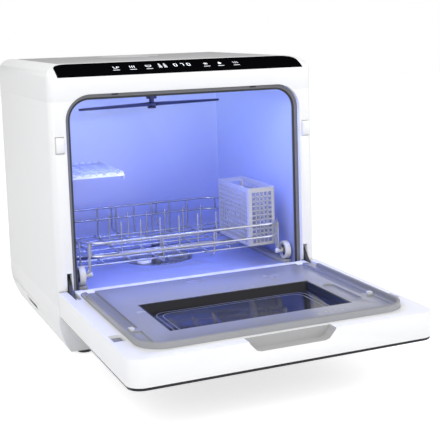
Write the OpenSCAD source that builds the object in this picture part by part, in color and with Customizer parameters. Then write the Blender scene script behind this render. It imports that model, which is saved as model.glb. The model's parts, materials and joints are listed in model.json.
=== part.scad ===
// Countertop dishwasher: a white casing with a blue-lit tub, a drop-down door shown open,
// and a wire rack on six wheels that rolls out over the door.
// Each module is drawn with x = 0 on the middle, y = 0 on the casing's front face and z = 0 on
// the counter; place() then shifts the whole so that its box is centred on the origin.

/* [Casing] */
// Width of the casing
body_w = 420; // [380:1:520]
// Depth of the casing without the door
body_d = 376; // [340:1:460]
// Height of the casing with its feet
body_h = 435; // [410:1:530]
// Wall of the moulded covers
wall = 3; // [2.5:0.1:3.5]
// Radius of the upright corners of the casing
corner_r = 14; // [10:1:18]
// Radius of the edge between the sides and the top
top_r = 22; // [16:1:26]
// Height of the seam above the base tray
base_h = 86; // [84:1:88]
// Height of the top cover below the highest point
cover_h = 52; // [50:1:56]
// How far the base tray draws in at its foot
base_taper = 22; // [14:1:26]
// Height of the feet
foot_h = 8; // [5:1:10]
// Radius of the feet
foot_r = 12; // [9:1:14]
// Depth of the sloping band above the door
slope_run = 56; // [50:1:62]
// Height of the sloping band above the door
slope_drop = 19; // [17:1:21]

/* [Mouth] */
// Width of the frame beside the mouth
frame_side = 24; // [24:1:34]
// Thickness of the front frame
frame_t = 14; // [14:1:16]
// Height of the mouth's lower edge
mouth_z = 92; // [91:1:94]
// Height of the frame above the mouth
mouth_head = 43; // [42:1:50]
// Radius of the mouth's upper corners
mouth_r = 38; // [26:1:44]
// Radius of the mouth's lower corners
mouth_low_r = 12; // [10:1:14]
// Width of the gasket
gasket_w = 8; // [6:0.5:8]
// How far the gasket sits back from the front face
gasket_back = 6.4; // [6.4:0.1:7.4]

/* [Tub] */
// Wall of the tub
tub_wall = 2; // [1.2:0.1:3]
// Space behind the tub for pipes and valves
rear_space = 44; // [40:1:60]

/* [Door] */
// Height of the open door's inner face
door_z = 108; // [108:1:109]
// Thickness of the door
door_t = 38; // [36:1:40]
// Gap between the closed door's free edge and the sloping band above it
door_reveal = 1; // [0.5:0.5:3]
// Gap between the door and the casing
door_gap = 2; // [1.5:0.1:3]
// Distance of the hinge pin from the door's hinge edge
pivot_in = 18; // [17:0.5:19]
// Thickness of the outer glass of the door
glass_t = 4; // [3:0.5:5]
// Height of the sealing ridge above the door's inner face
ridge_h = 8; // [6:0.5:8]
// Half-width of the door's window
window_hw = 130; // [100:1:134]
// Length of the door's window
window_len = 136; // [100:1:140]

/* [Rack] */
// Length of the rack, front to back
rack_d = 290; // [270:1:295]
// Travel of the rack out over the door
rack_travel = 182; // [150:1:190]
// Thickness of the coated wire
wire = 3.2; // [3:0.1:4]
// Height of the rack's base wires
base_wire_z = 131; // [130:1:134]
// Height of the lower rail
low_rail_z = 150; // [147:1:153]
// Height of the upper rail
high_rail_z = 170; // [166:1:178]
// Radius of the rack's corners
rack_r = 40; // [34:1:46]
// Radius of the wheels
wheel_r = 14.5; // [13:0.5:15]
// Width of the wheels
wheel_w = 9; // [7:0.5:10]
// Distance between the wheels' axles
axle_step = 119; // [110:1:121]
// Height of the plate tines
tine_h = 52; // [40:1:90]
// Height of the cup shelf
shelf_z = 256; // [235:1:258]
// Width of the cup shelf
shelf_w = 86; // [60:1:88]
// Length of the cup shelf
shelf_len = 158; // [100:1:160]
// Width of the cutlery basket
basket_w = 48; // [40:1:50]
// Length of the cutlery basket
basket_len = 128; // [90:1:130]
// Height of the cutlery basket
basket_h = 93; // [70:1:100]

/* [Spray arms] */
// Radius of the lower spray arm
arm_r = 138; // [110:1:138]
// Radius of the upper spray arm
upper_arm_r = 130; // [100:1:136]

/* [Fill port] */
// Radius of the fill cap
cap_r = 54; // [44:1:58]
// Radius of the filling hole
fill_r = 40; // [30:1:42]

/* [Hidden] */
$fn = 48;
fit = 0.08; // running clearance of a shaft in its bore
gap = 0.3; // clearance between pieces that move past each other
hw = body_w / 2;
seam_z = body_h - cover_h;
mouth_hw = hw - frame_side;
mouth_top = body_h - mouth_head;
tub_in = gasket_w; // inset of the tub's inner face from the mouth
tub_hw = mouth_hw - tub_in;
tub_floor = mouth_z + tub_in;
tub_top = mouth_top - tub_in;
tub_y0 = frame_t;
tub_y1 = body_d - rear_space;
mid_y = (tub_y0 + tub_y1) / 2;
toe = 6; // set-back of the casing below the open door
pivot_y = -door_gap - pivot_in;
pivot_z = door_z - pivot_in;
door_top = body_h - slope_drop - door_reveal; // where the free edge stands when the door is closed
door_front = door_gap + pivot_in + door_top - pivot_z;
door_low = door_z - door_t;
door_hw = hw - 1;
liner_gap = 1.5; // clearance of the ridge inside the mouth
liner_rise = 2;
lug_x = mouth_hw + 3;
lug_t = 5;
lug_half = 7;
lug_end = [8, 116]; // where the hinge lug meets its plate, as [y, z]
pocket_x0 = lug_x - 2;
pocket_x1 = lug_x + lug_t + 2.5;
pocket_len = 50;
pin_r = 3;
rack_hw = tub_hw - 13;
rack_y0 = frame_t - 2;
rack_y1 = rack_y0 + rack_d;
wheel_x = tub_hw - 10;
track_z = door_z - 0.5;
axle_z = track_z + gap + wheel_r;
axle_r = 2.5;
axle_y = [for (i = [0:2]) rack_y0 + 15 + i * axle_step];
track_end = axle_y[0] - rack_travel - wheel_r - 57; // end of the wheel track on the door
window_y1 = pivot_y - 105;
window_y0 = window_y1 - window_len;
window_z = door_z - 9;
window_slope = 5; // draw-in of the well's sides
window_rim = 2;
latch_x = mouth_hw + 10;
latch_z = mouth_top - 71;
latch_w = 12;
latch_h = 24;
latch_out = 4;
slope_r = (slope_run * slope_run + slope_drop * slope_drop) / (2 * slope_drop);
strip_hw = hw - 16;
strip_r = 26;
strip_t = 2;
panel_hw = hw - top_r - 8;
board_z = mouth_top + 14;
cap_y = body_d - 86;
tank_x0 = -hw + 14;
tank_y0 = slope_run + 16;
tank_y1 = body_d - wall - 8;
tank_z0 = tub_top + tub_wall;
tank_z1 = body_h - 13;
duct_w = frame_side + tub_in - tub_wall - 15;
duct_z = base_h - 46;
curve_h = base_h - 5 - foot_h;
curve_r = (base_taper * base_taper + curve_h * curve_h) / (2 * base_taper);
base_floor = foot_h + wall;
sump_r = 62;
sump_z = 62;
post_r = 7;
arm_z = tub_floor + 12;
pipe_r = 7;
pipe_z = tub_top - pipe_r - 1; // feed pipe under the tub's ceiling
upper_arm_z = pipe_z - 15;
cup_x = 30;
cup_y = mid_y - 18;
cup_r = 18;
float_r = 16;
float_stem_r = 12;
upper_turn = 10; // angle at which the upper arm rests
cap_turn = 24; // angle of the cap's grip bar
pump_x = -86;
pump_y = mid_y + 56;
pump_z = 46;
spigot_out = 18;
foot_x = hw - base_taper - 26;
foot_front = toe + base_taper + 22;
foot_back = body_d - 36;
gland_x = -hw + 60;
gland_z = 50;
gland_r = 8;
inlet_x = hw - 60;
inlet_z = base_h + 36;
drain_x = hw - 104;
drain_z = base_h + 30;
shelf_rod_r = 3.4;
shelf_x = -rack_hw + wire + shelf_rod_r + 2 * gap;
shelf_y = rack_y0 + 86;
shelf_y0 = shelf_y + 6;
shelf_y1 = shelf_y + shelf_len;
basket_y = rack_y0 + 22;
basket_x = rack_hw - rack_r + sqrt(pow(rack_r - wire, 2) - pow(rack_y0 + rack_r - basket_y, 2)) - 1;
basket_t = 2;
basket_border = 6;
basket_bar = 2;
base_top = base_wire_z + wire / 2;
inner_w = rack_hw - wire / 2;
wheel_in = wheel_x - wheel_w / 2 - gap; // wires below the rails stay inside this
post_x = wheel_in - wire / 2;
bay = (rack_hw - rack_r) * 2; // straight stretch across the front
bay_d = rack_d - 2 * rack_r; // straight stretch along the side
rail_mid = rack_r * (1 - sqrt(0.5)) + wire / 2 * sqrt(0.5); // middle of a rounded corner of the rail
cross_n = 6;
long_n = 6;
upright_i = [2, 4]; // long wires that turn up to the rails at both ends
cross_y = [for (i = [0:cross_n]) rack_y0 + rack_r + wire / 2 + i * (bay_d - wire) / cross_n];
long_x = [for (i = [0:long_n]) -bay / 2 + i * bay / long_n];
guard_y0 = shelf_y + 10;
guard_y1 = shelf_y1 + 2;
guard_z = shelf_z + 40;
tine_n = 6;
tine_step = 32;
tine_x0 = -86;
shift_y = (door_front - body_d - spigot_out) / 2;

// ---- shared outlines ----

module along_x(x0, x1) translate([x0, 0, 0]) rotate([90, 0, 90]) linear_extrude(x1 - x0) children();
module along_y(y0, y1) translate([0, y1, 0]) rotate([90, 0, 0]) linear_extrude(y1 - y0) children();
module along_z(z0, z1) translate([0, 0, z0]) linear_extrude(z1 - z0) children();
module both_sides() { children(); mirror([1, 0, 0]) children(); }
module block(low, high) translate(low) cube(high - low);
module rod_x(x0, x1, r) translate([x0, 0, 0]) rotate([0, 90, 0]) cylinder(h = x1 - x0, r = r);
module rod_y(y0, y1, r) translate([0, y1, 0]) rotate([90, 0, 0]) cylinder(h = y1 - y0, r = r);

// Rectangle from [x0, y0] to [x1, y1] with one radius for its low and one for its high corners
module soft_rect(x0, y0, x1, y1, low_r, high_r) {
    translate([x0, y0 + low_r]) square([x1 - x0, y1 - y0 - low_r - high_r]);
    translate([x0 + low_r, y0]) square([x1 - x0 - 2 * low_r, low_r + 1]);
    translate([x0 + high_r, y1 - high_r - 1]) square([x1 - x0 - 2 * high_r, high_r + 1]);
    for (x = [x0 + low_r, x1 - low_r]) translate([x, y0 + low_r]) circle(low_r);
    for (x = [x0 + high_r, x1 - high_r]) translate([x, y1 - high_r]) circle(high_r);
}

// The casing seen from above, drawn in by inset
module plan(inset = 0)
    soft_rect(-hw + inset, inset, hw - inset, body_d - inset, corner_r - inset, corner_r - inset);

// The mouth seen from the front, grown by extra
module mouth(extra = 0)
    soft_rect(-mouth_hw - extra, mouth_z - extra, mouth_hw + extra, mouth_top + extra,
        max(1, mouth_low_r + extra), mouth_r + extra);

// The mouth's outline laid on the open door, grown by extra
module liner_plan(extra = 0)
    translate([0, pivot_y + pivot_z]) mirror([0, 1]) mouth(extra - liner_gap);

module door_plan(inset = 0)
    soft_rect(-door_hw + inset, -door_front + inset, door_hw - inset, -door_gap - inset, 20 - inset, 2);

// Side view of the top: the curved band, then the level top
module slope_profile(inset = 0) {
    translate([slope_run, body_h - slope_r]) circle(slope_r - inset, $fn = 96);
    translate([slope_run, seam_z - 2]) square([body_d - slope_run, cover_h + 2 - inset]);
}

module top_form(inset, z0) intersection() {
    along_z(z0, body_h + 1) plan(inset);
    along_y(-1, body_d + 1) soft_rect(-hw + inset, seam_z - 20, hw - inset, body_h - inset, 1, top_r - inset);
    along_x(-hw - 1, hw + 1) slope_profile(inset);
}

// Front view of the base tray, curving in towards its foot
module base_front_view(inset) {
    translate([-hw + inset, base_h - 5]) square([2 * (hw - inset), 7]);
    intersection() {
        translate([-hw, foot_h + inset]) square([body_w, curve_h + 1]);
        union() {
            for (s = [-1, 1]) translate([s * (hw - curve_r), base_h - 5]) circle(curve_r - inset, $fn = 96);
            translate([curve_r - hw, foot_h]) square([body_w - 2 * curve_r, curve_h + 5]);
        }
    }
}

// Side view of the base tray, curving in at the front only
module base_side_view(inset) {
    translate([toe + inset, base_h - 5]) square([body_d - toe - 2 * inset, 7]);
    intersection() {
        translate([toe, foot_h + inset]) square([body_d - toe - inset, curve_h + 1]);
        union() {
            translate([toe + curve_r, base_h - 5]) circle(curve_r - inset, $fn = 96);
            translate([toe + curve_r, foot_h]) square([body_d - toe - curve_r - inset, curve_h + 5]);
        }
    }
}

module base_form(inset, z1) intersection() {
    along_z(foot_h + inset, z1) plan(inset);
    along_y(-1, body_d + 1) base_front_view(inset);
    along_x(-hw - 1, hw + 1) base_side_view(inset);
}

module place() translate([0, shift_y, 0]) children();

// ---- casing ----

module base_tray() color("white") place() difference() {
    base_form(0, base_h);
    difference() {
        base_form(wall, base_h + 1);
        for (x = [-1, 1], y = [foot_front, foot_back])
            translate([x * foot_x, y, foot_h]) cylinder(h = wall + 2, r = 5);
    }
    both_sides() block([-hw - 1, mid_y + 10, 35], [-hw + base_taper + 2, mid_y + 84, 43]);
    translate([gland_x, 0, gland_z]) rod_y(body_d - wall - 1, body_d + 1, gland_r);
}

module rubber_feet() color("dimgray") place()
    for (x = [-1, 1], y = [foot_front, foot_back])
        translate([x * foot_x, y, 0]) cylinder(h = foot_h, r = foot_r);

module side_panel() along_z(base_h, seam_z) intersection() {
    difference() { plan(); plan(wall); }
    translate([-hw - 1, frame_t]) square([corner_r + 1, body_d]);
}
module left_side_panel() color("white") place() side_panel();
module right_side_panel() color("white") place() mirror([1, 0, 0]) side_panel();

module front_frame() color("white") place() difference() {
    intersection() {
        along_z(base_h, seam_z) plan();
        block([-hw, 0, base_h], [hw, frame_t, seam_z]);
    }
    along_y(-1, frame_t + 1) mouth();
    block([-hw - 1, -1, base_h - 1], [hw + 1, toe, door_z + 0.5]);
    both_sides() block([pocket_x0 + 0.8, -1, base_h + 10], [pocket_x1 - 1.3, frame_t + 1, door_z + 26]);
    both_sides() block([latch_x - latch_w / 2 - gap, -1, latch_z - latch_h / 2 - gap],
        [latch_x + latch_w / 2 + gap, frame_t + 1, latch_z + latch_h / 2 + gap]);
}

module back_panel() color("gainsboro") place() difference() {
    block([-hw + corner_r, body_d - wall, base_h], [hw - corner_r, body_d, seam_z]);
    translate([inlet_x, 0, inlet_z]) rod_y(body_d - wall - 1, body_d + 1, 15);
    translate([drain_x, 0, drain_z]) rod_y(body_d - wall - 1, body_d + 1, 11);
    for (i = [0:9])
        block([-hw + 60 + i * 12, body_d - wall - 1, seam_z - 70],
            [-hw + 64 + i * 12, body_d + 1, seam_z - 30]);
}

// The touch strip seen from above, with its rear corners rounded
module strip_plan(extra) intersection() {
    soft_rect(-strip_hw - extra, -strip_r, strip_hw + extra, slope_run - 8 + extra, 1, strip_r);
    translate([-hw, 2 - extra]) square([body_w, slope_run]);
}

module top_cover() color("white") place() difference() {
    union() {
        difference() { top_form(0, seam_z); top_form(wall, seam_z - 1); }
        intersection() {
            top_form(0, seam_z);
            block([-hw, 0, seam_z], [hw, frame_t, mouth_top + 14]);
        }
    }
    along_y(-1, frame_t + 1) mouth();
    intersection() {
        along_z(seam_z, body_h + 1) strip_plan(0.2);
        along_x(-hw, hw) difference() {
            translate([slope_run, body_h - slope_r]) circle(slope_r + 1, $fn = 96);
            translate([slope_run, body_h - slope_r]) circle(slope_r - strip_t - 0.1, $fn = 96);
        }
    }
    along_z(body_h - 2, body_h + 1) soft_rect(-panel_hw, slope_run + 4, panel_hw, body_d - 16, 8, 8);
    translate([0, cap_y, body_h - 10]) cylinder(h = 20, r = cap_r + 1);
}

module top_panel() color("silver") place() difference() {
    along_z(body_h - 2, body_h)
        soft_rect(-panel_hw + 0.2, slope_run + 4.2, panel_hw - 0.2, body_d - 16.2, 7.8, 7.8);
    translate([0, cap_y, body_h - 10]) cylinder(h = 20, r = cap_r + 1);
}

module control_panel() color("black") place() intersection() {
    along_z(seam_z, body_h + 1) strip_plan(0);
    along_x(-hw, hw) difference() {
        translate([slope_run, body_h - slope_r]) circle(slope_r, $fn = 96);
        translate([slope_run, body_h - slope_r]) circle(slope_r - strip_t, $fn = 96);
    }
}

module board_carrier() color("gray") place() {
    block([-84, frame_t + 6, board_z - 2], [84, slope_run + 6, board_z]);
    for (x = [-78, 78], y = [frame_t + 14, slope_run])
        translate([x, y, tub_top + tub_wall]) cylinder(h = board_z - 1 - tub_top - tub_wall, r = 4);
}

module control_board() color("seagreen") place() {
    block([-78, frame_t + 9, board_z], [78, slope_run + 3, board_z + 1.6]);
    block([-22, frame_t + 14, board_z + 1], [22, frame_t + 26, board_z + 6]);
    for (x = [-60, 44, 58]) block([x, frame_t + 30, board_z + 1], [x + 9, frame_t + 39, board_z + 4]);
}

module mouth_gasket() color("dimgray") place() along_y(gasket_back, frame_t) difference() {
    mouth(-0.05);
    mouth(-gasket_w + 1);
}

// ---- tub and what it carries ----

module tub() color("lightsteelblue") place() difference() {
    union() {
        along_y(tub_y0 + 2, tub_y1) mouth(-tub_in + tub_wall);
        along_y(tub_y0, tub_y0 + 2) mouth(1.5);
    }
    along_y(tub_y0 - 1, tub_y1 - tub_wall) mouth(-tub_in);
    translate([0, mid_y, tub_floor - tub_wall - 1]) cylinder(h = tub_wall + 2, r = sump_r - 4);
    translate([0, 0, pipe_z]) rod_y(tub_y1 - tub_wall - 1, tub_y1 + 1, pipe_r + 0.2);
}

module rack_runners() color("lightgray") place() both_sides()
    block([tub_hw - 17, tub_y0 + 3, tub_floor], [tub_hw - 4.5, tub_y1 - tub_wall - 4, track_z]);

module light_bar() color("lightblue") place()
    block([-92, tub_y0 + 10, tub_top - 4], [92, tub_y0 + 20, tub_top]);

module feed_pipe() color("gray") place() {
    translate([0, 0, pipe_z]) rod_y(mid_y, tub_y1 + 16, pipe_r);
    translate([0, mid_y, upper_arm_z + 7]) cylinder(h = pipe_z - upper_arm_z - 2, r = pipe_r + 1.5);
    translate([0, mid_y, upper_arm_z - 7]) cylinder(h = 19, r = 4);
    translate([0, mid_y, upper_arm_z - 9]) cylinder(h = 3, r = pipe_r);
    translate([0, tub_y1 + 16, pump_z + 18]) cylinder(h = pipe_z - pump_z - 18, r = pipe_r);
    translate([0, tub_y1 + 16, pipe_z]) sphere(pipe_r + 1);
}

module sump() color("gray") place() {
    difference() {
        union() {
            translate([0, mid_y, sump_z]) cylinder(h = tub_floor - tub_wall - sump_z, r = sump_r);
            translate([0, mid_y, base_floor]) cylinder(h = sump_z - base_floor + 1, r = 16);
        }
        translate([0, mid_y, sump_z + 3]) cylinder(h = 60, r = sump_r - 3);
    }
    translate([0, mid_y, sump_z + 2]) cylinder(h = arm_z - sump_z + 7.5, r = post_r);
    translate([0, mid_y, sump_z + 2]) cylinder(h = arm_z - sump_z - 3, r = post_r + 3);
}

module filter_plate() color("silver") place() difference() {
    translate([0, mid_y, tub_floor - tub_wall]) cylinder(h = 2, r = sump_r - 4.2);
    translate([0, mid_y, tub_floor - 9]) cylinder(h = 20, r = post_r + 3.2);
    translate([cup_x, cup_y, tub_floor - 9]) cylinder(h = 20, r = cup_r + gap);
    translate([-cup_x, cup_y, tub_floor - 9]) cylinder(h = 20, r = float_stem_r + gap);
}

module water_tank() color("whitesmoke") place() difference() {
    block([tank_x0, tank_y0, tank_z0], [-tank_x0, tank_y1, tank_z1]);
    block([tank_x0 + 2, tank_y0 + 2, tank_z0 + 2], [-tank_x0 - 2, tank_y1 - 2, tank_z1 - 2]);
    translate([0, cap_y, tank_z1 - 10]) cylinder(h = 20, r = fill_r);
    translate([tank_x0 + duct_w / 2, cap_y, tank_z0 - 1]) cylinder(h = 4, r = 5);
}

module fill_collar() color("lightgray") place() difference() {
    translate([0, cap_y, tank_z1]) cylinder(h = body_h - 7 - tank_z1, r = fill_r + 8);
    translate([0, cap_y, tank_z1 - 1]) cylinder(h = 20, r = fill_r);
}

module tank_duct() color("lightgray") place() difference() {
    block([tank_x0, cap_y - 14, duct_z], [tank_x0 + duct_w, cap_y + 14, tank_z0]);
    block([tank_x0 + 2, cap_y - 12, duct_z + 2], [tank_x0 + duct_w - 2, cap_y + 12, tank_z0 + 1]);
}

// ---- hinge and latch parts fixed to the casing ----

module lug_outline() {
    translate([pivot_y, pivot_z]) circle(lug_half + 1);
    translate([pivot_y, pivot_z]) rotate(atan2(lug_end[1] - pivot_z, lug_end[0] - pivot_y))
        translate([0, -lug_half])
            square([norm([lug_end[0] - pivot_y, lug_end[1] - pivot_z]) + 9, 2 * lug_half]);
    translate([frame_t + gap, door_z - 8]) square([46, 50]);
}

module hinge_brackets() color("silver") place() both_sides() difference() {
    union() {
        along_x(lug_x, lug_x + lug_t) lug_outline();
        block([lug_x, frame_t, door_z + 30], [hw - wall - 1, frame_t + 3, door_z + 60]);
        block([lug_x, frame_t, door_z + 30], [lug_x + lug_t, frame_t + 46, door_z + 42]);
    }
    translate([0, pivot_y, pivot_z]) rod_x(lug_x - 1, lug_x + lug_t + 1, pin_r + fit);
}

module latch_housings() color("gray") place() both_sides() difference() {
    block([latch_x - latch_w / 2 - 2, frame_t, latch_z - latch_h / 2 - 3],
        [latch_x + latch_w / 2 + 2, frame_t + 28, latch_z + latch_h / 2 + 3]);
    block([latch_x - latch_w / 2 - gap, frame_t - 1, latch_z - latch_h / 2 - gap],
        [latch_x + latch_w / 2 + gap, frame_t + 25, latch_z + latch_h / 2 + gap]);
}

// ---- machinery in the base ----

module wash_pump() color("gray") place() {
    translate([0, pump_y, pump_z]) difference() {
        rod_x(pump_x, pump_x + 26, 34);
        rod_x(pump_x + 3, pump_x + 23, 31);
        rod_x(pump_x - 1, pump_x + 4, 4.2);
        rod_x(pump_x + 22, pump_x + 27, 8);
    }
    block([pump_x, pump_y - 20, base_floor], [pump_x + 26, pump_y + 20, pump_z - 31.5]);
}

module pump_motor() color("dimgray") place() difference() {
    union() {
        translate([0, pump_y, pump_z]) rod_x(pump_x - 62, pump_x, 27);
        block([pump_x - 56, pump_y - 18, base_floor], [pump_x - 8, pump_y + 18, pump_z - 24]);
    }
    translate([0, pump_y, pump_z]) rod_x(pump_x - 30, pump_x + 1, 4.2);
}

module flow_heater() color("silver") place() {
    translate([0, mid_y + 92, pump_z]) rod_x(pump_x + 40, pump_x + 150, 18);
    block([pump_x + 60, mid_y + 80, base_floor], [pump_x + 72, mid_y + 104, pump_z - 14]);
    block([pump_x + 120, mid_y + 80, base_floor], [pump_x + 132, mid_y + 104, pump_z - 14]);
}

module drain_pump() color("gray") place() {
    translate([hw - 110, mid_y - 20, base_floor]) cylinder(h = 52, r = 24);
    translate([0, mid_y - 20, base_floor + 30]) rod_x(sump_r + 1, hw - 110, 9);
}

module power_board() color("seagreen") place() {
    block([-hw + 60, toe + 50, base_floor + 8], [-hw + 150, toe + 110, base_floor + 9.6]);
    for (x = [-hw + 66, -hw + 144], y = [toe + 56, toe + 104])
        translate([x, y, base_floor]) cylinder(h = 8, r = 3);
    block([-hw + 74, toe + 60, base_floor + 9], [-hw + 104, toe + 90, base_floor + 32]);
    for (i = [0:2]) translate([-hw + 118 + i * 11, toe + 66, base_floor + 9]) cylinder(h = 18, r = 4.5);
}

module inlet_valve() color("lightgray") place() difference() {
    union() {
        translate([inlet_x, 0, inlet_z]) rod_y(body_d - wall - 30, body_d + spigot_out, 13.2);
        block([inlet_x - 20, body_d - wall - 30, inlet_z - 20], [inlet_x + 20, body_d - wall, inlet_z + 20]);
    }
    translate([inlet_x, 0, inlet_z]) rod_y(body_d - 12, body_d + spigot_out + 1, 9);
}

module drain_outlet() color("lightgray") place() difference() {
    union() {
        translate([drain_x, 0, drain_z]) rod_y(body_d - wall - 1, body_d + spigot_out, 9.5);
        translate([drain_x, 0, drain_z]) rod_y(body_d - wall - 16, body_d - wall, 10.5);
        translate([drain_x, 0, drain_z]) rod_y(body_d - wall - 6, body_d - wall, 14);
    }
    translate([drain_x, 0, drain_z]) rod_y(body_d - wall - 17, body_d + spigot_out + 1, 6.5);
}

module cable_gland() color("dimgray") place() translate([gland_x, 0, gland_z]) difference() {
    union() {
        rod_y(body_d - wall - 8, body_d + 6, gland_r - fit);
        rod_y(body_d, body_d + 4, gland_r + 3);
    }
    rod_y(body_d - wall - 9, body_d + 7, 4);
}

module case_screws() color("silver") place()
    for (x = [-hw + corner_r + 8, hw - corner_r - 8], z = [base_h + 12, (base_h + seam_z) / 2, seam_z - 12])
        translate([x, 0, z]) rod_y(body_d, body_d + 2.2, 4);

// ---- door ----

module scoop_view() polygon([
    [-60, door_z + 1], [60, door_z + 1], [58, door_z - 3], [50, door_z - 12],
    [44, door_z - 14], [-44, door_z - 14], [-50, door_z - 12], [-58, door_z - 3]]);

module hinge_pocket()
    block([pocket_x0, -door_gap - pocket_len, door_low + glass_t], [pocket_x1, -door_gap + 1, door_z + 1]);

module door_shell() color("white") place() difference() {
    union() {
        difference() {
            along_z(door_low + glass_t, door_z) door_plan();
            along_z(door_low, door_z - 4) door_plan(4);
        }
        block([-64, -door_front, door_z - 18], [64, -door_front + 20.4, door_z]);
        both_sides() {
            block([pocket_x0 - 4, -door_gap - 36, door_low + glass_t], [pocket_x0, -door_gap, door_z - 8.5]);
            block([pocket_x1, -door_gap - 36, door_low + glass_t], [pocket_x1 + 8, -door_gap, door_z]);
        }
    }
    along_z(door_z - 5, door_z + 1) liner_plan(gap);
    along_y(-door_front - 1, -door_front + 17) scoop_view();
    both_sides() {
        hinge_pocket();
        translate([0, pivot_y, pivot_z]) rod_x(pocket_x0 - 3, pocket_x1 + 6, pin_r + fit);
        block([wheel_x - wheel_w / 2 - 2, -60, track_z], [wheel_x + wheel_w / 2 + 2, 0, door_z + 1]);
        block([latch_x - latch_w / 2 - 1.6, pivot_y - latch_z + pivot_z - latch_h / 2 - 1.6, door_z - 5],
            [latch_x + latch_w / 2 + 1.6, pivot_y - latch_z + pivot_z + latch_h / 2 + 1.6, door_z + 1]);
    }
}

// Sloping sides of the window's well, shrinking from top to floor
function well_side(a, b) =
    [[a, door_z + 3], [b, door_z + 3], [b - window_slope, window_z], [a + window_slope, window_z]];

module window_well() intersection() {
    along_y(window_y0, window_y1) polygon(well_side(window_rim - window_hw, window_hw - window_rim));
    along_x(-window_hw, window_hw) polygon(well_side(window_y0 + window_rim, window_y1 - window_rim));
}

module door_liner() color("whitesmoke") place() difference() {
    union() {
        along_z(door_z - 4, door_z + liner_rise) liner_plan();
        along_z(door_z - 7, door_z - 4) intersection() {
            liner_plan(3);
            translate([-hw, -door_front]) square([body_w, door_front + pivot_y - 32]);
        }
        block([-window_hw - 4, window_y0 - 4, window_z], [window_hw + 4, window_y1 + 4, door_z]);
        along_z(door_z, door_z + ridge_h) intersection() {
            difference() { liner_plan(); liner_plan(-5); }
            translate([-hw, -door_front]) square([body_w, door_front + pivot_y - 40]);
        }
    }
    block([-window_hw, window_y0, window_z - 1], [window_hw, window_y1, door_z + liner_rise + 1]);
    both_sides() for (y = [[track_end, 0], [track_end - 66, track_end - 14]])
        block([wheel_x - wheel_w / 2 - 2, y[0], track_z],
            [wheel_x + wheel_w / 2 + 1.4, y[1], door_z + liner_rise + 1]);
    along_z(door_z - 1, door_z + liner_rise + 1)
        soft_rect(window_hw + 5, window_y0 + 10, window_hw + 23, window_y1 - 34, 8.5, 8.5);
}

module door_window() color("black") place() difference() {
    union() {
        block([-window_hw - 2, window_y0 - 2, window_z - 4], [window_hw + 2, window_y1 + 2, window_z]);
        block([-window_hw, window_y0, window_z - 1], [window_hw, window_y1, door_z + liner_rise - 0.5]);
    }
    window_well();
}

module door_glass() color("black") place() along_z(door_low, door_low + glass_t) door_plan(1);

module hinge_pins() color("silver") place() both_sides()
    translate([0, pivot_y, pivot_z]) rod_x(pocket_x0 - 3, pocket_x1 + 6, pin_r);

// ---- rack, drawn pushed home ----

module wire_x(x0, x1, y, z) block([x0, y - wire / 2, z - wire / 2], [x1, y + wire / 2, z + wire / 2]);
module wire_y(x, y0, y1, z) block([x - wire / 2, y0, z - wire / 2], [x + wire / 2, y1, z + wire / 2]);
module wire_z(x, y, z0, z1) block([x - wire / 2, y - wire / 2, z0], [x + wire / 2, y + wire / 2, z1]);

module rack_base() color("gainsboro") place() {
    for (i = upright_i) wire_y(long_x[i], rack_y0, rack_y1, base_wire_z);
    for (x = long_x) wire_y(x, cross_y[0], cross_y[cross_n], base_wire_z);
    for (y = cross_y) wire_x(-wheel_in, wheel_in, y, base_wire_z);
}

// Half of the rail loop: the front stretch and its two corners
module rail_end() difference() {
    intersection() {
        soft_rect(-rack_hw, rack_y0, rack_hw, rack_y1, rack_r, rack_r);
        translate([-rack_hw, rack_y0]) square([2 * rack_hw, rack_r]);
    }
    soft_rect(-rack_hw + wire, rack_y0 + wire, rack_hw - wire, rack_y1 - wire, rack_r - wire, rack_r - wire);
}

module end_frame() {
    for (z = [low_rail_z, high_rail_z]) along_z(z - wire / 2, z + wire / 2) rail_end();
    for (i = upright_i) wire_z(long_x[i], rack_y0 + wire / 2, base_wire_z + wire / 2, high_rail_z);
    both_sides() wire_z(rack_hw - rail_mid, rack_y0 + rail_mid, low_rail_z, high_rail_z);
}

module rack_front() color("gainsboro") place() end_frame();
module rack_back() color("gainsboro") place()
    translate([0, rack_y0 + rack_y1, 0]) mirror([0, 1, 0]) end_frame();

module side_frame() {
    for (z = [low_rail_z, high_rail_z]) wire_y(inner_w, rack_y0 + rack_r, rack_y1 - rack_r, z);
    for (i = [0:cross_n])
        wire_z(post_x, cross_y[i], base_wire_z + wire / 2, i % 2 == 0 ? high_rail_z : low_rail_z);
}

module rack_right_side() color("gainsboro") place() side_frame();
module rack_left_side() color("gainsboro") place() {
    mirror([1, 0, 0]) side_frame();
    for (y = [guard_y0, (guard_y0 + guard_y1) / 2, guard_y1]) wire_z(-inner_w, y, low_rail_z, guard_z);
    for (z = [shelf_z - 18, guard_z]) wire_y(-inner_w, guard_y0, guard_y1, z);
}

module leg(y, x) {
    translate([0, y, axle_z]) rod_x(x - wire, wheel_x + wheel_w / 2 + 3, axle_r);
    translate([0, y, axle_z]) rod_x(x - wire, wheel_x - wheel_w / 2 - gap, axle_r + 2.5);
    block([x - wire, y - 2.5, axle_z], [x, y + 2.5, low_rail_z - wire / 2]);
}

// The first and last legs stand under the rounded corners of the rails
function rail_x(y) = let (d = min(max(0, rack_y0 + rack_r - y), rack_r - wire / 2))
    min(wheel_in, rack_hw - rack_r + sqrt(pow(rack_r - wire / 2, 2) - d * d) + 1);

module rack_legs() color("gainsboro") place() both_sides() for (y = axle_y) leg(y, rail_x(y));

module plate_tines() color("gainsboro") place() for (j = [1:2:cross_n - 1]) {
    wire_x(tine_x0 - 4, tine_x0 + 4 + (tine_n - 1) * tine_step, cross_y[j], base_top + wire / 2);
    for (i = [0:tine_n - 1]) wire_z(tine_x0 + i * tine_step, cross_y[j], base_top, base_top + tine_h);
}

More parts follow.
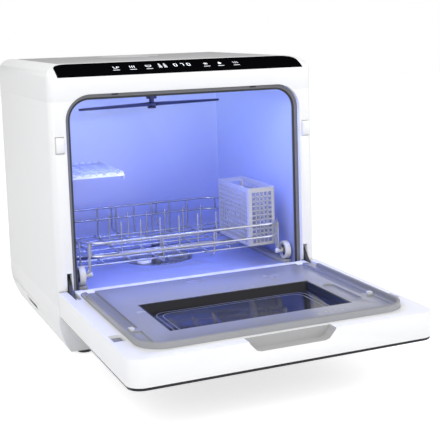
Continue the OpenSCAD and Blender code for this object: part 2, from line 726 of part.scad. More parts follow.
module wheel(y) translate([wheel_x, y, axle_z]) rotate([0, 90, 0]) rotate_extrude() polygon([
    [axle_r + fit, -wheel_w / 2], [wheel_r - 1.5, -wheel_w / 2], [wheel_r, -wheel_w / 2 + 1.5],
    [wheel_r, wheel_w / 2 - 1.5], [wheel_r - 1.5, wheel_w / 2], [wheel_r - 3, wheel_w / 2],
    [wheel_r - 4, 1.5], [axle_r + 3, 1.5], [axle_r + 2, wheel_w / 2], [axle_r + fit, wheel_w / 2]]);
module wheel_left_front() color("whitesmoke") place() mirror([1, 0, 0]) wheel(axle_y[0]);
module wheel_left_middle() color("whitesmoke") place() mirror([1, 0, 0]) wheel(axle_y[1]);
module wheel_left_rear() color("whitesmoke") place() mirror([1, 0, 0]) wheel(axle_y[2]);
module wheel_right_front() color("whitesmoke") place() wheel(axle_y[0]);
module wheel_right_middle() color("whitesmoke") place() wheel(axle_y[1]);
module wheel_right_rear() color("whitesmoke") place() wheel(axle_y[2]);

module cup_shelf() color("white") place() difference() {
    union() {
        block([shelf_x + 1.5, shelf_y0, shelf_z - 2], [shelf_x + shelf_w, shelf_y1, shelf_z + 1]);
        for (x = [shelf_x + 1.5, shelf_x + shelf_w - 1.5])
            block([x, shelf_y0, shelf_z - 6], [x + 1.5, shelf_y1, shelf_z - 2]);
        translate([shelf_x, 0, shelf_z - 3]) rod_y(shelf_y0, shelf_y1, shelf_rod_r);
    }
    for (i = [0:4], j = [0:3])
        block([shelf_x + 10 + j * 18, shelf_y + 20 + i * 24, shelf_z - 3],
            [shelf_x + 22 + j * 18, shelf_y + 34 + i * 24, shelf_z + 2]);
}

// Wall of the basket: a solid border and cols by rows openings with bars between them
module mesh_wall(len, high, cols, rows) let (
    step = (len - 2 * basket_border + basket_bar) / cols, rise = (high - 2 * basket_border + basket_bar) / rows)
difference() {
    square([len, high]);
    for (i = [0:cols - 1], j = [0:rows - 1])
        translate([basket_border + i * step, basket_border + j * rise])
            square([step - basket_bar, rise - basket_bar]);
}

module basket_side() rotate([90, 0, 90]) linear_extrude(basket_t) mesh_wall(basket_len, basket_h, 9, 7);
module basket_end() rotate([90, 0, 0]) linear_extrude(basket_t) mesh_wall(basket_w, basket_h, 4, 7);

module cutlery_basket() color("gainsboro") place()
    translate([basket_x - basket_w, basket_y, base_top + gap]) {
        for (y = [basket_t, basket_len]) translate([0, y, 0]) basket_end();
        for (x = [0, basket_w - basket_t]) translate([x, 0, 0]) basket_side();
        linear_extrude(basket_t) mesh_wall(basket_w, basket_len, 4, 8);
    }

// ---- pieces that turn or lift inside ----

module spray_blade(r, half_w) {
    circle(half_w + 8);
    polygon([for (s = [1, -1]) each [[s * (r - 12), -s * half_w * 0.7], [s * r, -s * half_w * 0.3],
        [s * r, s * half_w * 0.3], [s * (r - 12), s * half_w * 0.7], [0, s * half_w]]]);
}

module lower_spray_arm() color("gray") place() translate([0, mid_y, 0]) difference() {
    union() {
        along_z(arm_z, arm_z + 7) spray_blade(arm_r, 17);
        translate([0, 0, arm_z]) cylinder(h = 12, r = post_r + 4);
    }
    translate([0, 0, arm_z - 1]) cylinder(h = 11, r = post_r + fit);
}

module upper_spray_arm() color("gray") place() translate([0, mid_y, 0]) rotate(upper_turn) difference() {
    along_z(upper_arm_z - 5, upper_arm_z + 1) spray_blade(upper_arm_r, 12);
    translate([0, 0, upper_arm_z - 6]) cylinder(h = 9, r = 4 + fit);
}

module filter_cup() color("gray") place() translate([cup_x, cup_y, 0]) {
    difference() {
        translate([0, 0, sump_z + 3 + gap]) cylinder(h = tub_floor - sump_z - 3 - gap, r = cup_r);
        translate([0, 0, sump_z + 6]) cylinder(h = tub_floor, r = cup_r - 2);
    }
    translate([0, 0, tub_floor - 2]) difference() {
        cylinder(h = 2, r = cup_r);
        translate([0, 0, -1]) cylinder(h = 4, r = 10);
    }
    block([-cup_r + 1, -1.5, tub_floor - 2], [cup_r - 1, 1.5, tub_floor + 8]);
}

module water_float() color("whitesmoke") place() translate([-cup_x, cup_y, 0]) {
    translate([0, 0, sump_z + 3 + gap]) cylinder(h = 18, r = float_r);
    translate([0, 0, sump_z + 20]) cylinder(h = tub_floor - sump_z - 16, r = float_stem_r);
}

module pump_impeller() color("whitesmoke") place() translate([0, pump_y, pump_z]) {
    rod_x(pump_x - 26, pump_x + 14, 4.2 - fit);
    rod_x(pump_x + 6, pump_x + 9, 28);
    for (a = [0:60:300]) rotate([a, 0, 0]) block([pump_x + 8, 5, -1.2], [pump_x + 19, 27, 1.2]);
    rod_x(pump_x + 8, pump_x + 16, 9);
}

module fill_cap() color("white") place() translate([0, cap_y, 0]) difference() {
    union() {
        translate([0, 0, body_h - 7 + gap]) cylinder(h = 7 - gap, r = cap_r);
        translate([0, 0, tank_z1 - 8]) cylinder(h = body_h - tank_z1 + 4, r = fill_r - gap);
    }
    translate([0, 0, tank_z1 - 9]) cylinder(h = body_h - tank_z1 + 3, r = fill_r - 4);
    for (a = [0, 180]) rotate(cap_turn + a) translate([0, 0, body_h - 3.5]) intersection() {
        cylinder(h = 5, r = cap_r - 8);
        translate([-cap_r, 8, 0]) cube([2 * cap_r, cap_r, 5]);
    }
}

module latch() difference() {
    block([latch_x - latch_w / 2, -latch_out, latch_z - latch_h / 2],
        [latch_x + latch_w / 2, frame_t + 18, latch_z + latch_h / 2]);
    translate([latch_x, 0, latch_z]) rod_y(frame_t + 4, frame_t + 19, 3.5);
}
module right_latch() color("white") place() latch();
module left_latch() color("white") place() mirror([1, 0, 0]) latch();

base_tray();
rubber_feet();
left_side_panel();
right_side_panel();
front_frame();
back_panel();
top_cover();
top_panel();
control_panel();
board_carrier();
control_board();
mouth_gasket();
tub();
rack_runners();
light_bar();
feed_pipe();
sump();
filter_plate();
water_tank();
fill_collar();
tank_duct();
hinge_brackets();
latch_housings();
wash_pump();
pump_motor();
flow_heater();
drain_pump();
power_board();
inlet_valve();
drain_outlet();
cable_gland();
case_screws();
door_shell();
door_liner();
door_window();
door_glass();
hinge_pins();
rack_base();
rack_front();
rack_back();
rack_left_side();
rack_right_side();
rack_legs();
plate_tines();
wheel_left_front();
wheel_left_middle();
wheel_left_rear();
wheel_right_front();
wheel_right_middle();
wheel_right_rear();
cup_shelf();
cutlery_basket();
lower_spray_arm();
upper_spray_arm();
filter_cup();
water_float();
pump_impeller();
fill_cap();
left_latch();
right_latch();
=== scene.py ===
"""Finishes and fine pieces of a countertop dishwasher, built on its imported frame.

Lengths in the classes are millimetres on the drawing's axes: x = 0 on the middle, y = 0 on the
casing's front face, z = 0 on the counter. Form turns them into metres in the frame.
"""
import json
import logging
import math
from collections.abc import Callable, Iterable, Sequence
from dataclasses import dataclass
from enum import Enum

import bmesh
import bpy
from mathutils import Matrix, Vector

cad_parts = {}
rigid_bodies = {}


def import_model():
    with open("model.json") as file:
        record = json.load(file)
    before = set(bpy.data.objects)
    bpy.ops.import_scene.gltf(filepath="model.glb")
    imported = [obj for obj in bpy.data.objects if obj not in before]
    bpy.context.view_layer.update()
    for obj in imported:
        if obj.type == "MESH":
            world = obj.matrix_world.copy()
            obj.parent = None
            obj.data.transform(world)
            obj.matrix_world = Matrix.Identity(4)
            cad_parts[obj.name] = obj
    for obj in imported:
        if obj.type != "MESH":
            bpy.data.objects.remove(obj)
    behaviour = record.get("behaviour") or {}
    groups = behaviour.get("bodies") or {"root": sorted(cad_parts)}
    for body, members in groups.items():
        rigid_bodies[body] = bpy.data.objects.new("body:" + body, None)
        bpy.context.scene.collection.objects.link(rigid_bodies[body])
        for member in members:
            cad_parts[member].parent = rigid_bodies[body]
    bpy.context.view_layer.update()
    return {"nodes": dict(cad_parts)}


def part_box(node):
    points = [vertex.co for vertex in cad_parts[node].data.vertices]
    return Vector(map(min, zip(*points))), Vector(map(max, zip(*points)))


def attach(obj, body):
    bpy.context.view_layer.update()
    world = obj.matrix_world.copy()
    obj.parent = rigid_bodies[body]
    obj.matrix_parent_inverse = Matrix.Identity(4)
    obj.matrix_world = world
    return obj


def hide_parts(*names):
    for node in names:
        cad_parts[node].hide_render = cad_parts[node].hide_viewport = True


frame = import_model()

log = logging.getLogger("dishwasher")
MM = 0.001
SHIFT_Y = -24.5
BUMP_STRENGTH = 0.5
BUMP_DISTANCE = 0.4 * MM
WELD = 0.002 * MM
FLAT_ANGLE = math.radians(0.6)
RIB_REACH = 0.7
EDGE_STEPS = 2
BIG_EDGE_STEPS = 4
MITRE_LIMIT = 0.5
BEND_STEPS = 5
STUD_TAPER = 0.8
WIRE_SIDES = 10
RAIL_SIDES = 12
PURE_WHITE = (1.0, 1.0, 1.0, 1.0)
Point = tuple[float, float, float]
Flat = tuple[float, float]
Color = tuple[float, float, float]


class Axis(Enum):
    """The direction that a shape is drawn along."""

    X = 0
    Y = 1
    Z = 2


class Effect(Enum):
    """Shader node groups that several finishes share."""

    PEEL = "moulded_peel"
    SMUDGE = "smudged_gloss"
    DUST = "settled_dust"
    DRIFT = "tone_drift"
    BRUSHED = "brushed_grain"
    # Painted light: a glow that stands in for a lamp's light on a surface that is no lamp.
    PAINTED_LIGHT = "painted_lamp_light"


# ---- shader groups ----

class ShaderLibrary:
    """Builds each shared shader group once and hands it out."""

    def __init__(self) -> None:
        """Starts with no group built."""
        self._built: dict[Effect, bpy.types.NodeTree] = {}

    def get(self, effect: Effect) -> bpy.types.NodeTree:
        """Returns the group of an effect.

        Args:
            effect: The effect that is wanted.

        Returns:
            The shader node group, built on first use.
        """
        if effect not in self._built:
            tree = bpy.data.node_groups.new(effect.value, "ShaderNodeTree")
            build = {Effect.PEEL: self._peel, Effect.SMUDGE: self._smudge, Effect.DUST: self._dust,
                     Effect.DRIFT: self._drift, Effect.BRUSHED: self._brushed, Effect.PAINTED_LIGHT: self._painted_light}[effect]
            build(tree)
            self._built[effect] = tree
        return self._built[effect]

    @staticmethod
    def _ends(tree: bpy.types.NodeTree, outs: Sequence[str],
              **inputs: float | tuple) -> tuple[bpy.types.Node, bpy.types.Node]:
        """Gives a group its sockets.

        Args:
            tree: The group.
            outs: The outputs' names; Color is a colour and any other is a number.
            inputs: The inputs' defaults by name; a tuple is a colour.

        Returns:
            The group's input and output nodes.
        """
        for name, value in inputs.items():
            kind = "NodeSocketColor" if isinstance(value, tuple) else "NodeSocketFloat"
            tree.interface.new_socket(name=name, in_out="INPUT", socket_type=kind).default_value = value
        for name in outs:
            kind = "NodeSocketColor" if name == "Color" else "NodeSocketFloat"
            tree.interface.new_socket(name=name, in_out="OUTPUT", socket_type=kind)
        return tree.nodes.new("NodeGroupInput"), tree.nodes.new("NodeGroupOutput")

    @staticmethod
    def _noise(tree: bpy.types.NodeTree, scale: bpy.types.NodeSocket | float, detail: float,
               stretch: Point | None = None) -> bpy.types.NodeSocket:
        """Adds a noise texture on Object coordinates.

        Args:
            tree: The group.
            scale: The scale, as a number or a socket.
            detail: Octaves of the noise.
            stretch: Scales of the three axes, where the noise is drawn out.

        Returns:
            The noise's factor socket.
        """
        place = tree.nodes.new("ShaderNodeTexCoord").outputs["Object"]
        if stretch is not None:
            mapping = tree.nodes.new("ShaderNodeMapping")
            mapping.inputs["Scale"].default_value = stretch
            tree.links.new(place, mapping.inputs["Vector"])
            place = mapping.outputs["Vector"]
        noise = tree.nodes.new("ShaderNodeTexNoise")
        tree.links.new(place, noise.inputs["Vector"])
        noise.inputs["Detail"].default_value = detail
        if isinstance(scale, bpy.types.NodeSocket):
            tree.links.new(scale, noise.inputs["Scale"])
        else:
            noise.inputs["Scale"].default_value = scale
        return noise.outputs["Fac"]

    @staticmethod
    def _math(tree: bpy.types.NodeTree, kind: str, *values: bpy.types.NodeSocket | float,
              clamp: bool = False) -> bpy.types.NodeSocket:
        """Adds a Math node.

        Args:
            tree: The group.
            kind: The operation.
            values: Its inputs, as numbers or sockets.
            clamp: True to keep the result from 0 to 1.

        Returns:
            The result's socket.
        """
        node = tree.nodes.new("ShaderNodeMath")
        node.operation = kind
        node.use_clamp = clamp
        for socket, value in zip(node.inputs, values):
            if isinstance(value, bpy.types.NodeSocket):
                tree.links.new(value, socket)
            else:
                socket.default_value = value
        return node.outputs[0]

    @staticmethod
    def _mix(tree: bpy.types.NodeTree, factor: bpy.types.NodeSocket, low: bpy.types.NodeSocket,
             high: bpy.types.NodeSocket) -> bpy.types.NodeSocket:
        """Mixes two colours.

        Args:
            tree: The group.
            factor: The share of the second colour.
            low: The first colour.
            high: The second colour.

        Returns:
            The mixed colour's socket.
        """
        node = tree.nodes.new("ShaderNodeMix")
        node.data_type = "RGBA"
        tree.links.new(factor, node.inputs["Factor"])
        tree.links.new(low, node.inputs["A"])
        tree.links.new(high, node.inputs["B"])
        return node.outputs["Result"]

    def _peel(self, tree: bpy.types.NodeTree) -> None:
        """Fills the group for the faint waviness of a moulded skin."""
        start, end = self._ends(tree, ("Height",), Scale=900.0, Depth=0.3)
        height = self._math(tree, "MULTIPLY", self._noise(tree, start.outputs["Scale"], 2.0),
                            start.outputs["Depth"])
        tree.links.new(height, end.inputs["Height"])

    def _smudge(self, tree: bpy.types.NodeTree) -> None:
        """Fills the group for gloss that varies with handling."""
        start, end = self._ends(tree, ("Roughness",), Roughness=0.2, Spread=0.1, Scale=18.0)
        lift = self._math(tree, "MULTIPLY", self._noise(tree, start.outputs["Scale"], 5.0),
                          start.outputs["Spread"])
        tree.links.new(self._math(tree, "ADD", start.outputs["Roughness"], lift, clamp=True),
                       end.inputs["Roughness"])

    def _dust(self, tree: bpy.types.NodeTree) -> None:
        """Fills the group for dust on faces that look up."""
        start, end = self._ends(tree, ("Color",), Color=(0.8, 0.8, 0.8, 1.0), Dust=(0.75, 0.73, 0.7, 1.0),
                                Amount=0.1)
        split = tree.nodes.new("ShaderNodeSeparateXYZ")
        tree.links.new(tree.nodes.new("ShaderNodeNewGeometry").outputs["Normal"], split.inputs[0])
        upward = self._math(tree, "MULTIPLY", split.outputs["Z"], self._noise(tree, 60.0, 6.0), clamp=True)
        share = self._math(tree, "MULTIPLY", upward, start.outputs["Amount"], clamp=True)
        tree.links.new(self._mix(tree, share, start.outputs["Color"], start.outputs["Dust"]),
                       end.inputs["Color"])

    def _drift(self, tree: bpy.types.NodeTree) -> None:
        """Fills the group for a slow drift between two tones."""
        start, end = self._ends(tree, ("Color",), Color=(0.8, 0.8, 0.8, 1.0), Other=(0.7, 0.7, 0.7, 1.0),
                                Amount=0.5, Scale=8.0)
        share = self._math(tree, "MULTIPLY", self._noise(tree, start.outputs["Scale"], 3.0),
                           start.outputs["Amount"], clamp=True)
        tree.links.new(self._mix(tree, share, start.outputs["Color"], start.outputs["Other"]),
                       end.inputs["Color"])

    def _brushed(self, tree: bpy.types.NodeTree) -> None:
        """Fills the group for the fine lines of brushed steel."""
        start, end = self._ends(tree, ("Height", "Roughness"), Depth=0.3, Roughness=0.3)
        lines = self._noise(tree, 40.0, 4.0, (1.0, 1.0, 60.0))
        tree.links.new(self._math(tree, "MULTIPLY", lines, start.outputs["Depth"]), end.inputs["Height"])
        tree.links.new(self._math(tree, "MULTIPLY_ADD", lines, 0.14, start.outputs["Roughness"], clamp=True),
                       end.inputs["Roughness"])

    def _painted_light(self, tree: bpy.types.NodeTree) -> None:
        """Fills the group for painted light: a glow that stands in for a lamp's light, paler and brighter
        near the lamp above and deeper and dimmer down to a floor.
        """
        start, end = self._ends(tree, ("Color", "Strength"), Near=PURE_WHITE, Far=(0.1, 0.1, 0.8, 1.0),
                                Low=0.1, High=0.38, Rest=0.1, Glow=0.4)
        split = tree.nodes.new("ShaderNodeSeparateXYZ")
        tree.links.new(tree.nodes.new("ShaderNodeTexCoord").outputs["Object"], split.inputs[0])
        rise = tree.nodes.new("ShaderNodeMapRange")
        rise.interpolation_type = "SMOOTHSTEP"
        tree.links.new(split.outputs["Z"], rise.inputs["Value"])
        tree.links.new(start.outputs["Low"], rise.inputs["From Min"])
        tree.links.new(start.outputs["High"], rise.inputs["From Max"])
        height = rise.outputs["Result"]
        tree.links.new(self._mix(tree, height, start.outputs["Far"], start.outputs["Near"]),
                       end.inputs["Color"])
        span = self._math(tree, "SUBTRACT", start.outputs["Glow"], start.outputs["Rest"])
        tree.links.new(self._math(tree, "MULTIPLY_ADD", height, span, start.outputs["Rest"]),
                       end.inputs["Strength"])


shaders = ShaderLibrary()


# ---- finishes ----

@dataclass(frozen=True)
class Finish:
    """A finish: its colour, gloss, fine relief and how much dust lies on it."""

    name: str
    slot: str
    color: Color
    other: Color
    drift: float = 0.4
    drift_scale: float = 9.0
    roughness: float = 0.25
    spread: float = 0.08
    metallic: float = 0.0
    specular: float = 0.5
    relief: float = 0.05
    relief_scale: float = 900.0
    brushed: bool = False
    dust: float = 0.05
    # Emission and glow make real lamps glow; with far set they are painted light, fading from near to far
    # between the heights in lit_z.
    emission: Color = (0.0, 0.0, 0.0)
    glow: float = 0.0
    far: Color | None = None
    rest: float = 0.0
    lit_z: Flat = (0.0, 1.0)

    def material(self) -> bpy.types.Material:
        """Returns the Blender material of this finish, built on first use."""
        found = bpy.data.materials.get(self.name)
        if found is not None:
            return found
        made = bpy.data.materials.new(self.name)
        made.use_nodes = True
        tree = made.node_tree
        shader = tree.nodes["Principled BSDF"]
        for name, value in {"Metallic": self.metallic, "Specular IOR Level": self.specular,
                            "Emission Color": (*self.emission, 1.0), "Emission Strength": self.glow}.items():
            shader.inputs[name].default_value = value
        # A glow that changes with height is painted light, standing in for a lamp's light on a surface that
        # is no lamp.
        if self.far is not None:
            lit = self._place(tree, Effect.PAINTED_LIGHT, Near=(*self.emission, 1.0), Far=(*self.far, 1.0),
                              Low=self.lit_z[0], High=self.lit_z[1], Rest=self.rest, Glow=self.glow)
            tree.links.new(lit.outputs["Color"], shader.inputs["Emission Color"])
            tree.links.new(lit.outputs["Strength"], shader.inputs["Emission Strength"])
        drift = self._place(tree, Effect.DRIFT, Color=(*self.color, 1.0), Other=(*self.other, 1.0),
                            Amount=self.drift, Scale=self.drift_scale)
        dust = self._place(tree, Effect.DUST, Amount=self.dust)
        tree.links.new(drift.outputs["Color"], dust.inputs["Color"])
        tree.links.new(dust.outputs["Color"], shader.inputs["Base Color"])
        bump = tree.nodes.new("ShaderNodeBump")
        bump.inputs["Strength"].default_value = BUMP_STRENGTH
        bump.inputs["Distance"].default_value = BUMP_DISTANCE
        if self.brushed:
            lines = self._place(tree, Effect.BRUSHED, Depth=self.relief, Roughness=self.roughness)
            tree.links.new(lines.outputs["Height"], bump.inputs["Height"])
            tree.links.new(lines.outputs["Roughness"], shader.inputs["Roughness"])
        else:
            peel = self._place(tree, Effect.PEEL, Depth=self.relief, Scale=self.relief_scale)
            smudge = self._place(tree, Effect.SMUDGE, Roughness=self.roughness, Spread=self.spread)
            tree.links.new(peel.outputs["Height"], bump.inputs["Height"])
            tree.links.new(smudge.outputs["Roughness"], shader.inputs["Roughness"])
        tree.links.new(bump.outputs["Normal"], shader.inputs["Normal"])
        return made

    @staticmethod
    def _place(tree: bpy.types.NodeTree, effect: Effect, **values: float | tuple) -> bpy.types.Node:
        """Places a shared group in a material.

        Args:
            tree: The material's tree.
            effect: The group's effect.
            values: The group's inputs by name.

        Returns:
            The group node.
        """
        node = tree.nodes.new("ShaderNodeGroup")
        node.node_tree = shaders.get(effect)
        for name, value in values.items():
            node.inputs[name].default_value = value
        return node


WHITE = Finish("glossy_white_casing", "white", (0.86, 0.865, 0.87), (0.84, 0.845, 0.855), roughness=0.34,
               specular=0.3, relief=0.06, relief_scale=420.0, dust=0.02)
TOP_GREY = Finish("satin_grey_top", "light_grey", (0.52, 0.52, 0.53), (0.49, 0.49, 0.5), roughness=0.6,
                  specular=0.0, relief=0.2, relief_scale=1800.0, dust=0.03)
CAP_GREY = Finish("satin_fill_cap", "light_grey", (0.56, 0.56, 0.57), (0.53, 0.53, 0.54), roughness=0.5,
                  specular=0.1, relief=0.12, relief_scale=1500.0)
PALE_GREY = Finish("pale_grey_plastic", "light_grey", (0.6, 0.6, 0.61), (0.55, 0.55, 0.56), roughness=0.36,
                   relief=0.15, relief_scale=1500.0)
STRIP_BLACK = Finish("black_gloss_strip", "black_gloss", (0.002, 0.002, 0.0025), (0.003, 0.003, 0.004),
                     roughness=0.2, spread=0.05, specular=0.0, relief=0.02, dust=0.0)
DOOR_BLACK = Finish("dark_door_glass", "dark_glass", (0.006, 0.006, 0.009), (0.01, 0.01, 0.014),
                    roughness=0.06, spread=0.04, specular=0.3, relief=0.02, dust=0.0)
# The scoop is the door's white plastic; this grey is painted shade in the recess.
SCOOP_PAINTED_SHADE = Finish("scoop_painted_shade", "liner", (0.37, 0.37, 0.375), (0.33, 0.33, 0.335), roughness=0.42,
                    specular=0.35, relief=0.12, relief_scale=1500.0)
SEAL_GREY = Finish("grey_sealing_rubber", "grey_rubber", (0.2, 0.2, 0.2), (0.16, 0.16, 0.165),
                   roughness=0.55, relief=0.3, relief_scale=1400.0)
SEAL_DARK = Finish("dark_seal_lip", "grey_rubber", (0.018, 0.018, 0.02), (0.026, 0.026, 0.028),
                   roughness=0.5, relief=0.3, relief_scale=1400.0)
RIDGE_GREY = Finish("grey_ridge_rubber", "grey_rubber", (0.24, 0.24, 0.24), (0.2, 0.2, 0.205),
                    roughness=0.45, relief=0.2, relief_scale=1400.0)
# The tub is bare steel: its blue tint and its glow, bright under the roof and deeper and dimmer towards the
# floor, are painted light from the light bar.
TUB_STEEL_PAINTED_BLUE = Finish("tub_steel_painted_blue_light", "tub_steel", (0.42, 0.46, 0.62), (0.5, 0.53, 0.66), drift=0.8,
                  drift_scale=5.0, roughness=0.3, metallic=0.35, brushed=True, relief=0.25, dust=0.0,
                  emission=(0.32, 0.43, 0.94), glow=0.38, far=(0.07, 0.11, 0.9), rest=0.12,
                  lit_z=(0.095, 0.36))
STEEL = Finish("bright_steel", "steel", (0.6, 0.6, 0.62), (0.5, 0.5, 0.52), roughness=0.25, metallic=1.0,
               brushed=True, relief=0.2)
HINGE_BLACK = Finish("blackened_hinge_steel", "steel", (0.035, 0.035, 0.04), (0.05, 0.05, 0.055),
                     roughness=0.35, metallic=0.4, relief=0.2)
WIRE_WHITE = Finish("coated_wire_gloss", "coated_wire", (0.5, 0.5, 0.52), (0.43, 0.43, 0.45),
                    roughness=0.2, metallic=0.75, relief=0.1, relief_scale=1200.0)
WHEEL_WHITE = Finish("moulded_wheel", "wheel_plastic", (0.66, 0.66, 0.64), (0.58, 0.58, 0.56),
                     roughness=0.34, relief=0.15, relief_scale=1400.0)
LINER_PALE = Finish("grey_liner_gloss", "liner", (0.32, 0.325, 0.34), (0.27, 0.275, 0.3), drift=0.5,
                    drift_scale=6.0, roughness=0.22, specular=0.28, relief=0.06, relief_scale=420.0, dust=0.0)
# The basket is light grey plastic, darkened here to a mid grey as painted shade that falls on it inside the
# rack.
BASKET_PAINTED_SHADE_GREY = Finish("basket_plastic_painted_shade", "light_grey", (0.5, 0.5, 0.51), (0.45, 0.45, 0.46),
                     roughness=0.36, relief=0.15, relief_scale=1500.0)
DARK = Finish("dark_moulded_plastic", "dark_plastic", (0.03, 0.03, 0.034), (0.045, 0.045, 0.05),
              roughness=0.42, relief=0.3, relief_scale=1400.0)
MID = Finish("grey_moulded_plastic", "mid_plastic", (0.2, 0.2, 0.215), (0.17, 0.17, 0.18), roughness=0.4,
             relief=0.25, relief_scale=1400.0)
# The dark navy of the spray arms and the feed pipe is painted shade and painted blue light from the light
# bar.
ARM_PAINTED_BLUE_SHADE = Finish("spray_arm_plastic", "mid_plastic", (0.03, 0.035, 0.09), (0.04, 0.045, 0.11),
                  roughness=0.34, relief=0.2, relief_scale=1400.0)
LIGHT = Finish("blue_light_lens", "clear_light", (0.6, 0.7, 1.0), (0.55, 0.65, 1.0), roughness=0.3,
               emission=(0.42, 0.52, 1.0), glow=7.0, dust=0.0)
BOARD = Finish("green_circuit_board", "circuit", (0.01, 0.12, 0.05), (0.008, 0.09, 0.04), roughness=0.35,
               relief=0.4, relief_scale=700.0)
ICON = Finish("lit_icon_print", "black_gloss", (0.8, 0.82, 0.85), (0.75, 0.77, 0.8), roughness=0.4,
              emission=(0.85, 0.9, 1.0), glow=0.7, dust=0.0)
DIGIT = Finish("lit_digits", "black_gloss", (0.85, 0.9, 1.0), (0.8, 0.86, 1.0), roughness=0.4,
               emission=(0.9, 0.95, 1.0), glow=1.0, dust=0.0)
PRINT = Finish("printed_window_line", "dark_glass", (0.2, 0.21, 0.24), (0.16, 0.17, 0.2), roughness=0.3,
               dust=0.0)


# ---- mesh making ----

def at(x: float, y: float, z: float) -> Vector:
    """Returns a point of the drawing, in millimetres, as a point of the frame in metres."""
    return Vector((x, y + SHIFT_Y, z)) * MM


def drawn(p: Vector) -> Vector:
    """Returns a point of the frame, in metres, as a point of the drawing in millimetres."""
    return p / MM - Vector((0.0, SHIFT_Y, 0.0))


def drawn_box(node: str) -> tuple[Point, Point]:
    """Returns the low and high corners of a CAD node's box, in millimetres on the drawing's axes."""
    low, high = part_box(node)
    return tuple((c[0] / MM, c[1] / MM - SHIFT_Y, c[2] / MM) for c in (low, high))


def arc(cx: float, cy: float, r: float, start: float, end: float, steps: int) -> list[Flat]:
    """Returns points along an arc.

    Args:
        cx: The centre's first coordinate.
        cy: The centre's second coordinate.
        r: The radius.
        start: The first angle in degrees.
        end: The last angle in degrees.
        steps: The number of chords.

    Returns:
        The points, first and last included.
    """
    angles = [math.radians(start + (end - start) * i / steps) for i in range(steps + 1)]
    return [(cx + r * math.cos(a), cy + r * math.sin(a)) for a in angles]


def rounded(x0: float, y0: float, x1: float, y1: float, r: float, steps: int = 6) -> list[Flat]:
    """Returns the outline of a rectangle with round corners, anticlockwise.

    Args:
        x0: The low first coordinate.
        y0: The low second coordinate.
        x1: The high first coordinate.
        y1: The high second coordinate.
        r: The corner radius.
        steps: Chords in a corner.

    Returns:
        The outline's points.
    """
    return (arc(x1 - r, y0 + r, r, -90, 0, steps) + arc(x1 - r, y1 - r, r, 0, 90, steps)
            + arc(x0 + r, y1 - r, r, 90, 180, steps) + arc(x0 + r, y0 + r, r, 180, 270, steps))


def box(x0: float, y0: float, x1: float, y1: float) -> list[Flat]:
    """Returns the outline of a rectangle, anticlockwise from its low corner."""
    return [(x0, y0), (x1, y0), (x1, y1), (x0, y1)]


def rotated(points: Iterable[Flat], degrees: float, x: float = 0.0, y: float = 0.0) -> list[Flat]:
    """Returns points turned about the origin and then moved.

    Args:
        points: The points.
        degrees: The turn, anticlockwise.
        x: The move along the first coordinate.
        y: The move along the second coordinate.

    Returns:
        The new points.
    """
    c, s = math.cos(math.radians(degrees)), math.sin(math.radians(degrees))
    return [(x + u * c - v * s, y + u * s + v * c) for u, v in points]


def linked(name: str, data: bpy.types.ID) -> bpy.types.Object:
    """Returns a new object of the scene, at the origin."""
    obj = bpy.data.objects.new(name, data)
    bpy.context.scene.collection.objects.link(obj)
    return obj


def dress(obj: bpy.types.Object, body: str, replaces: Iterable[str] = ()) -> bpy.types.Object:
    """Makes a finished piece ride on its body.

    Args:
        obj: The piece, at the origin with its place in its mesh.
        body: The body it rides on.
        replaces: The CAD nodes it stands for.

    Returns:
        The piece.
    """
    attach(obj, body)
    nodes = list(replaces)
    if nodes:
        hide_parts(*nodes)
    log.info("%s: %d faces on %s", obj.name, len(obj.data.polygons), body)
    return obj


def smooth(mesh: bpy.types.Mesh, angle: float = 32.0) -> None:
    """Shades a mesh smooth, except over edges sharper than an angle in degrees."""
    mesh.shade_smooth()
    mesh.set_sharp_from_angle(angle=math.radians(angle))


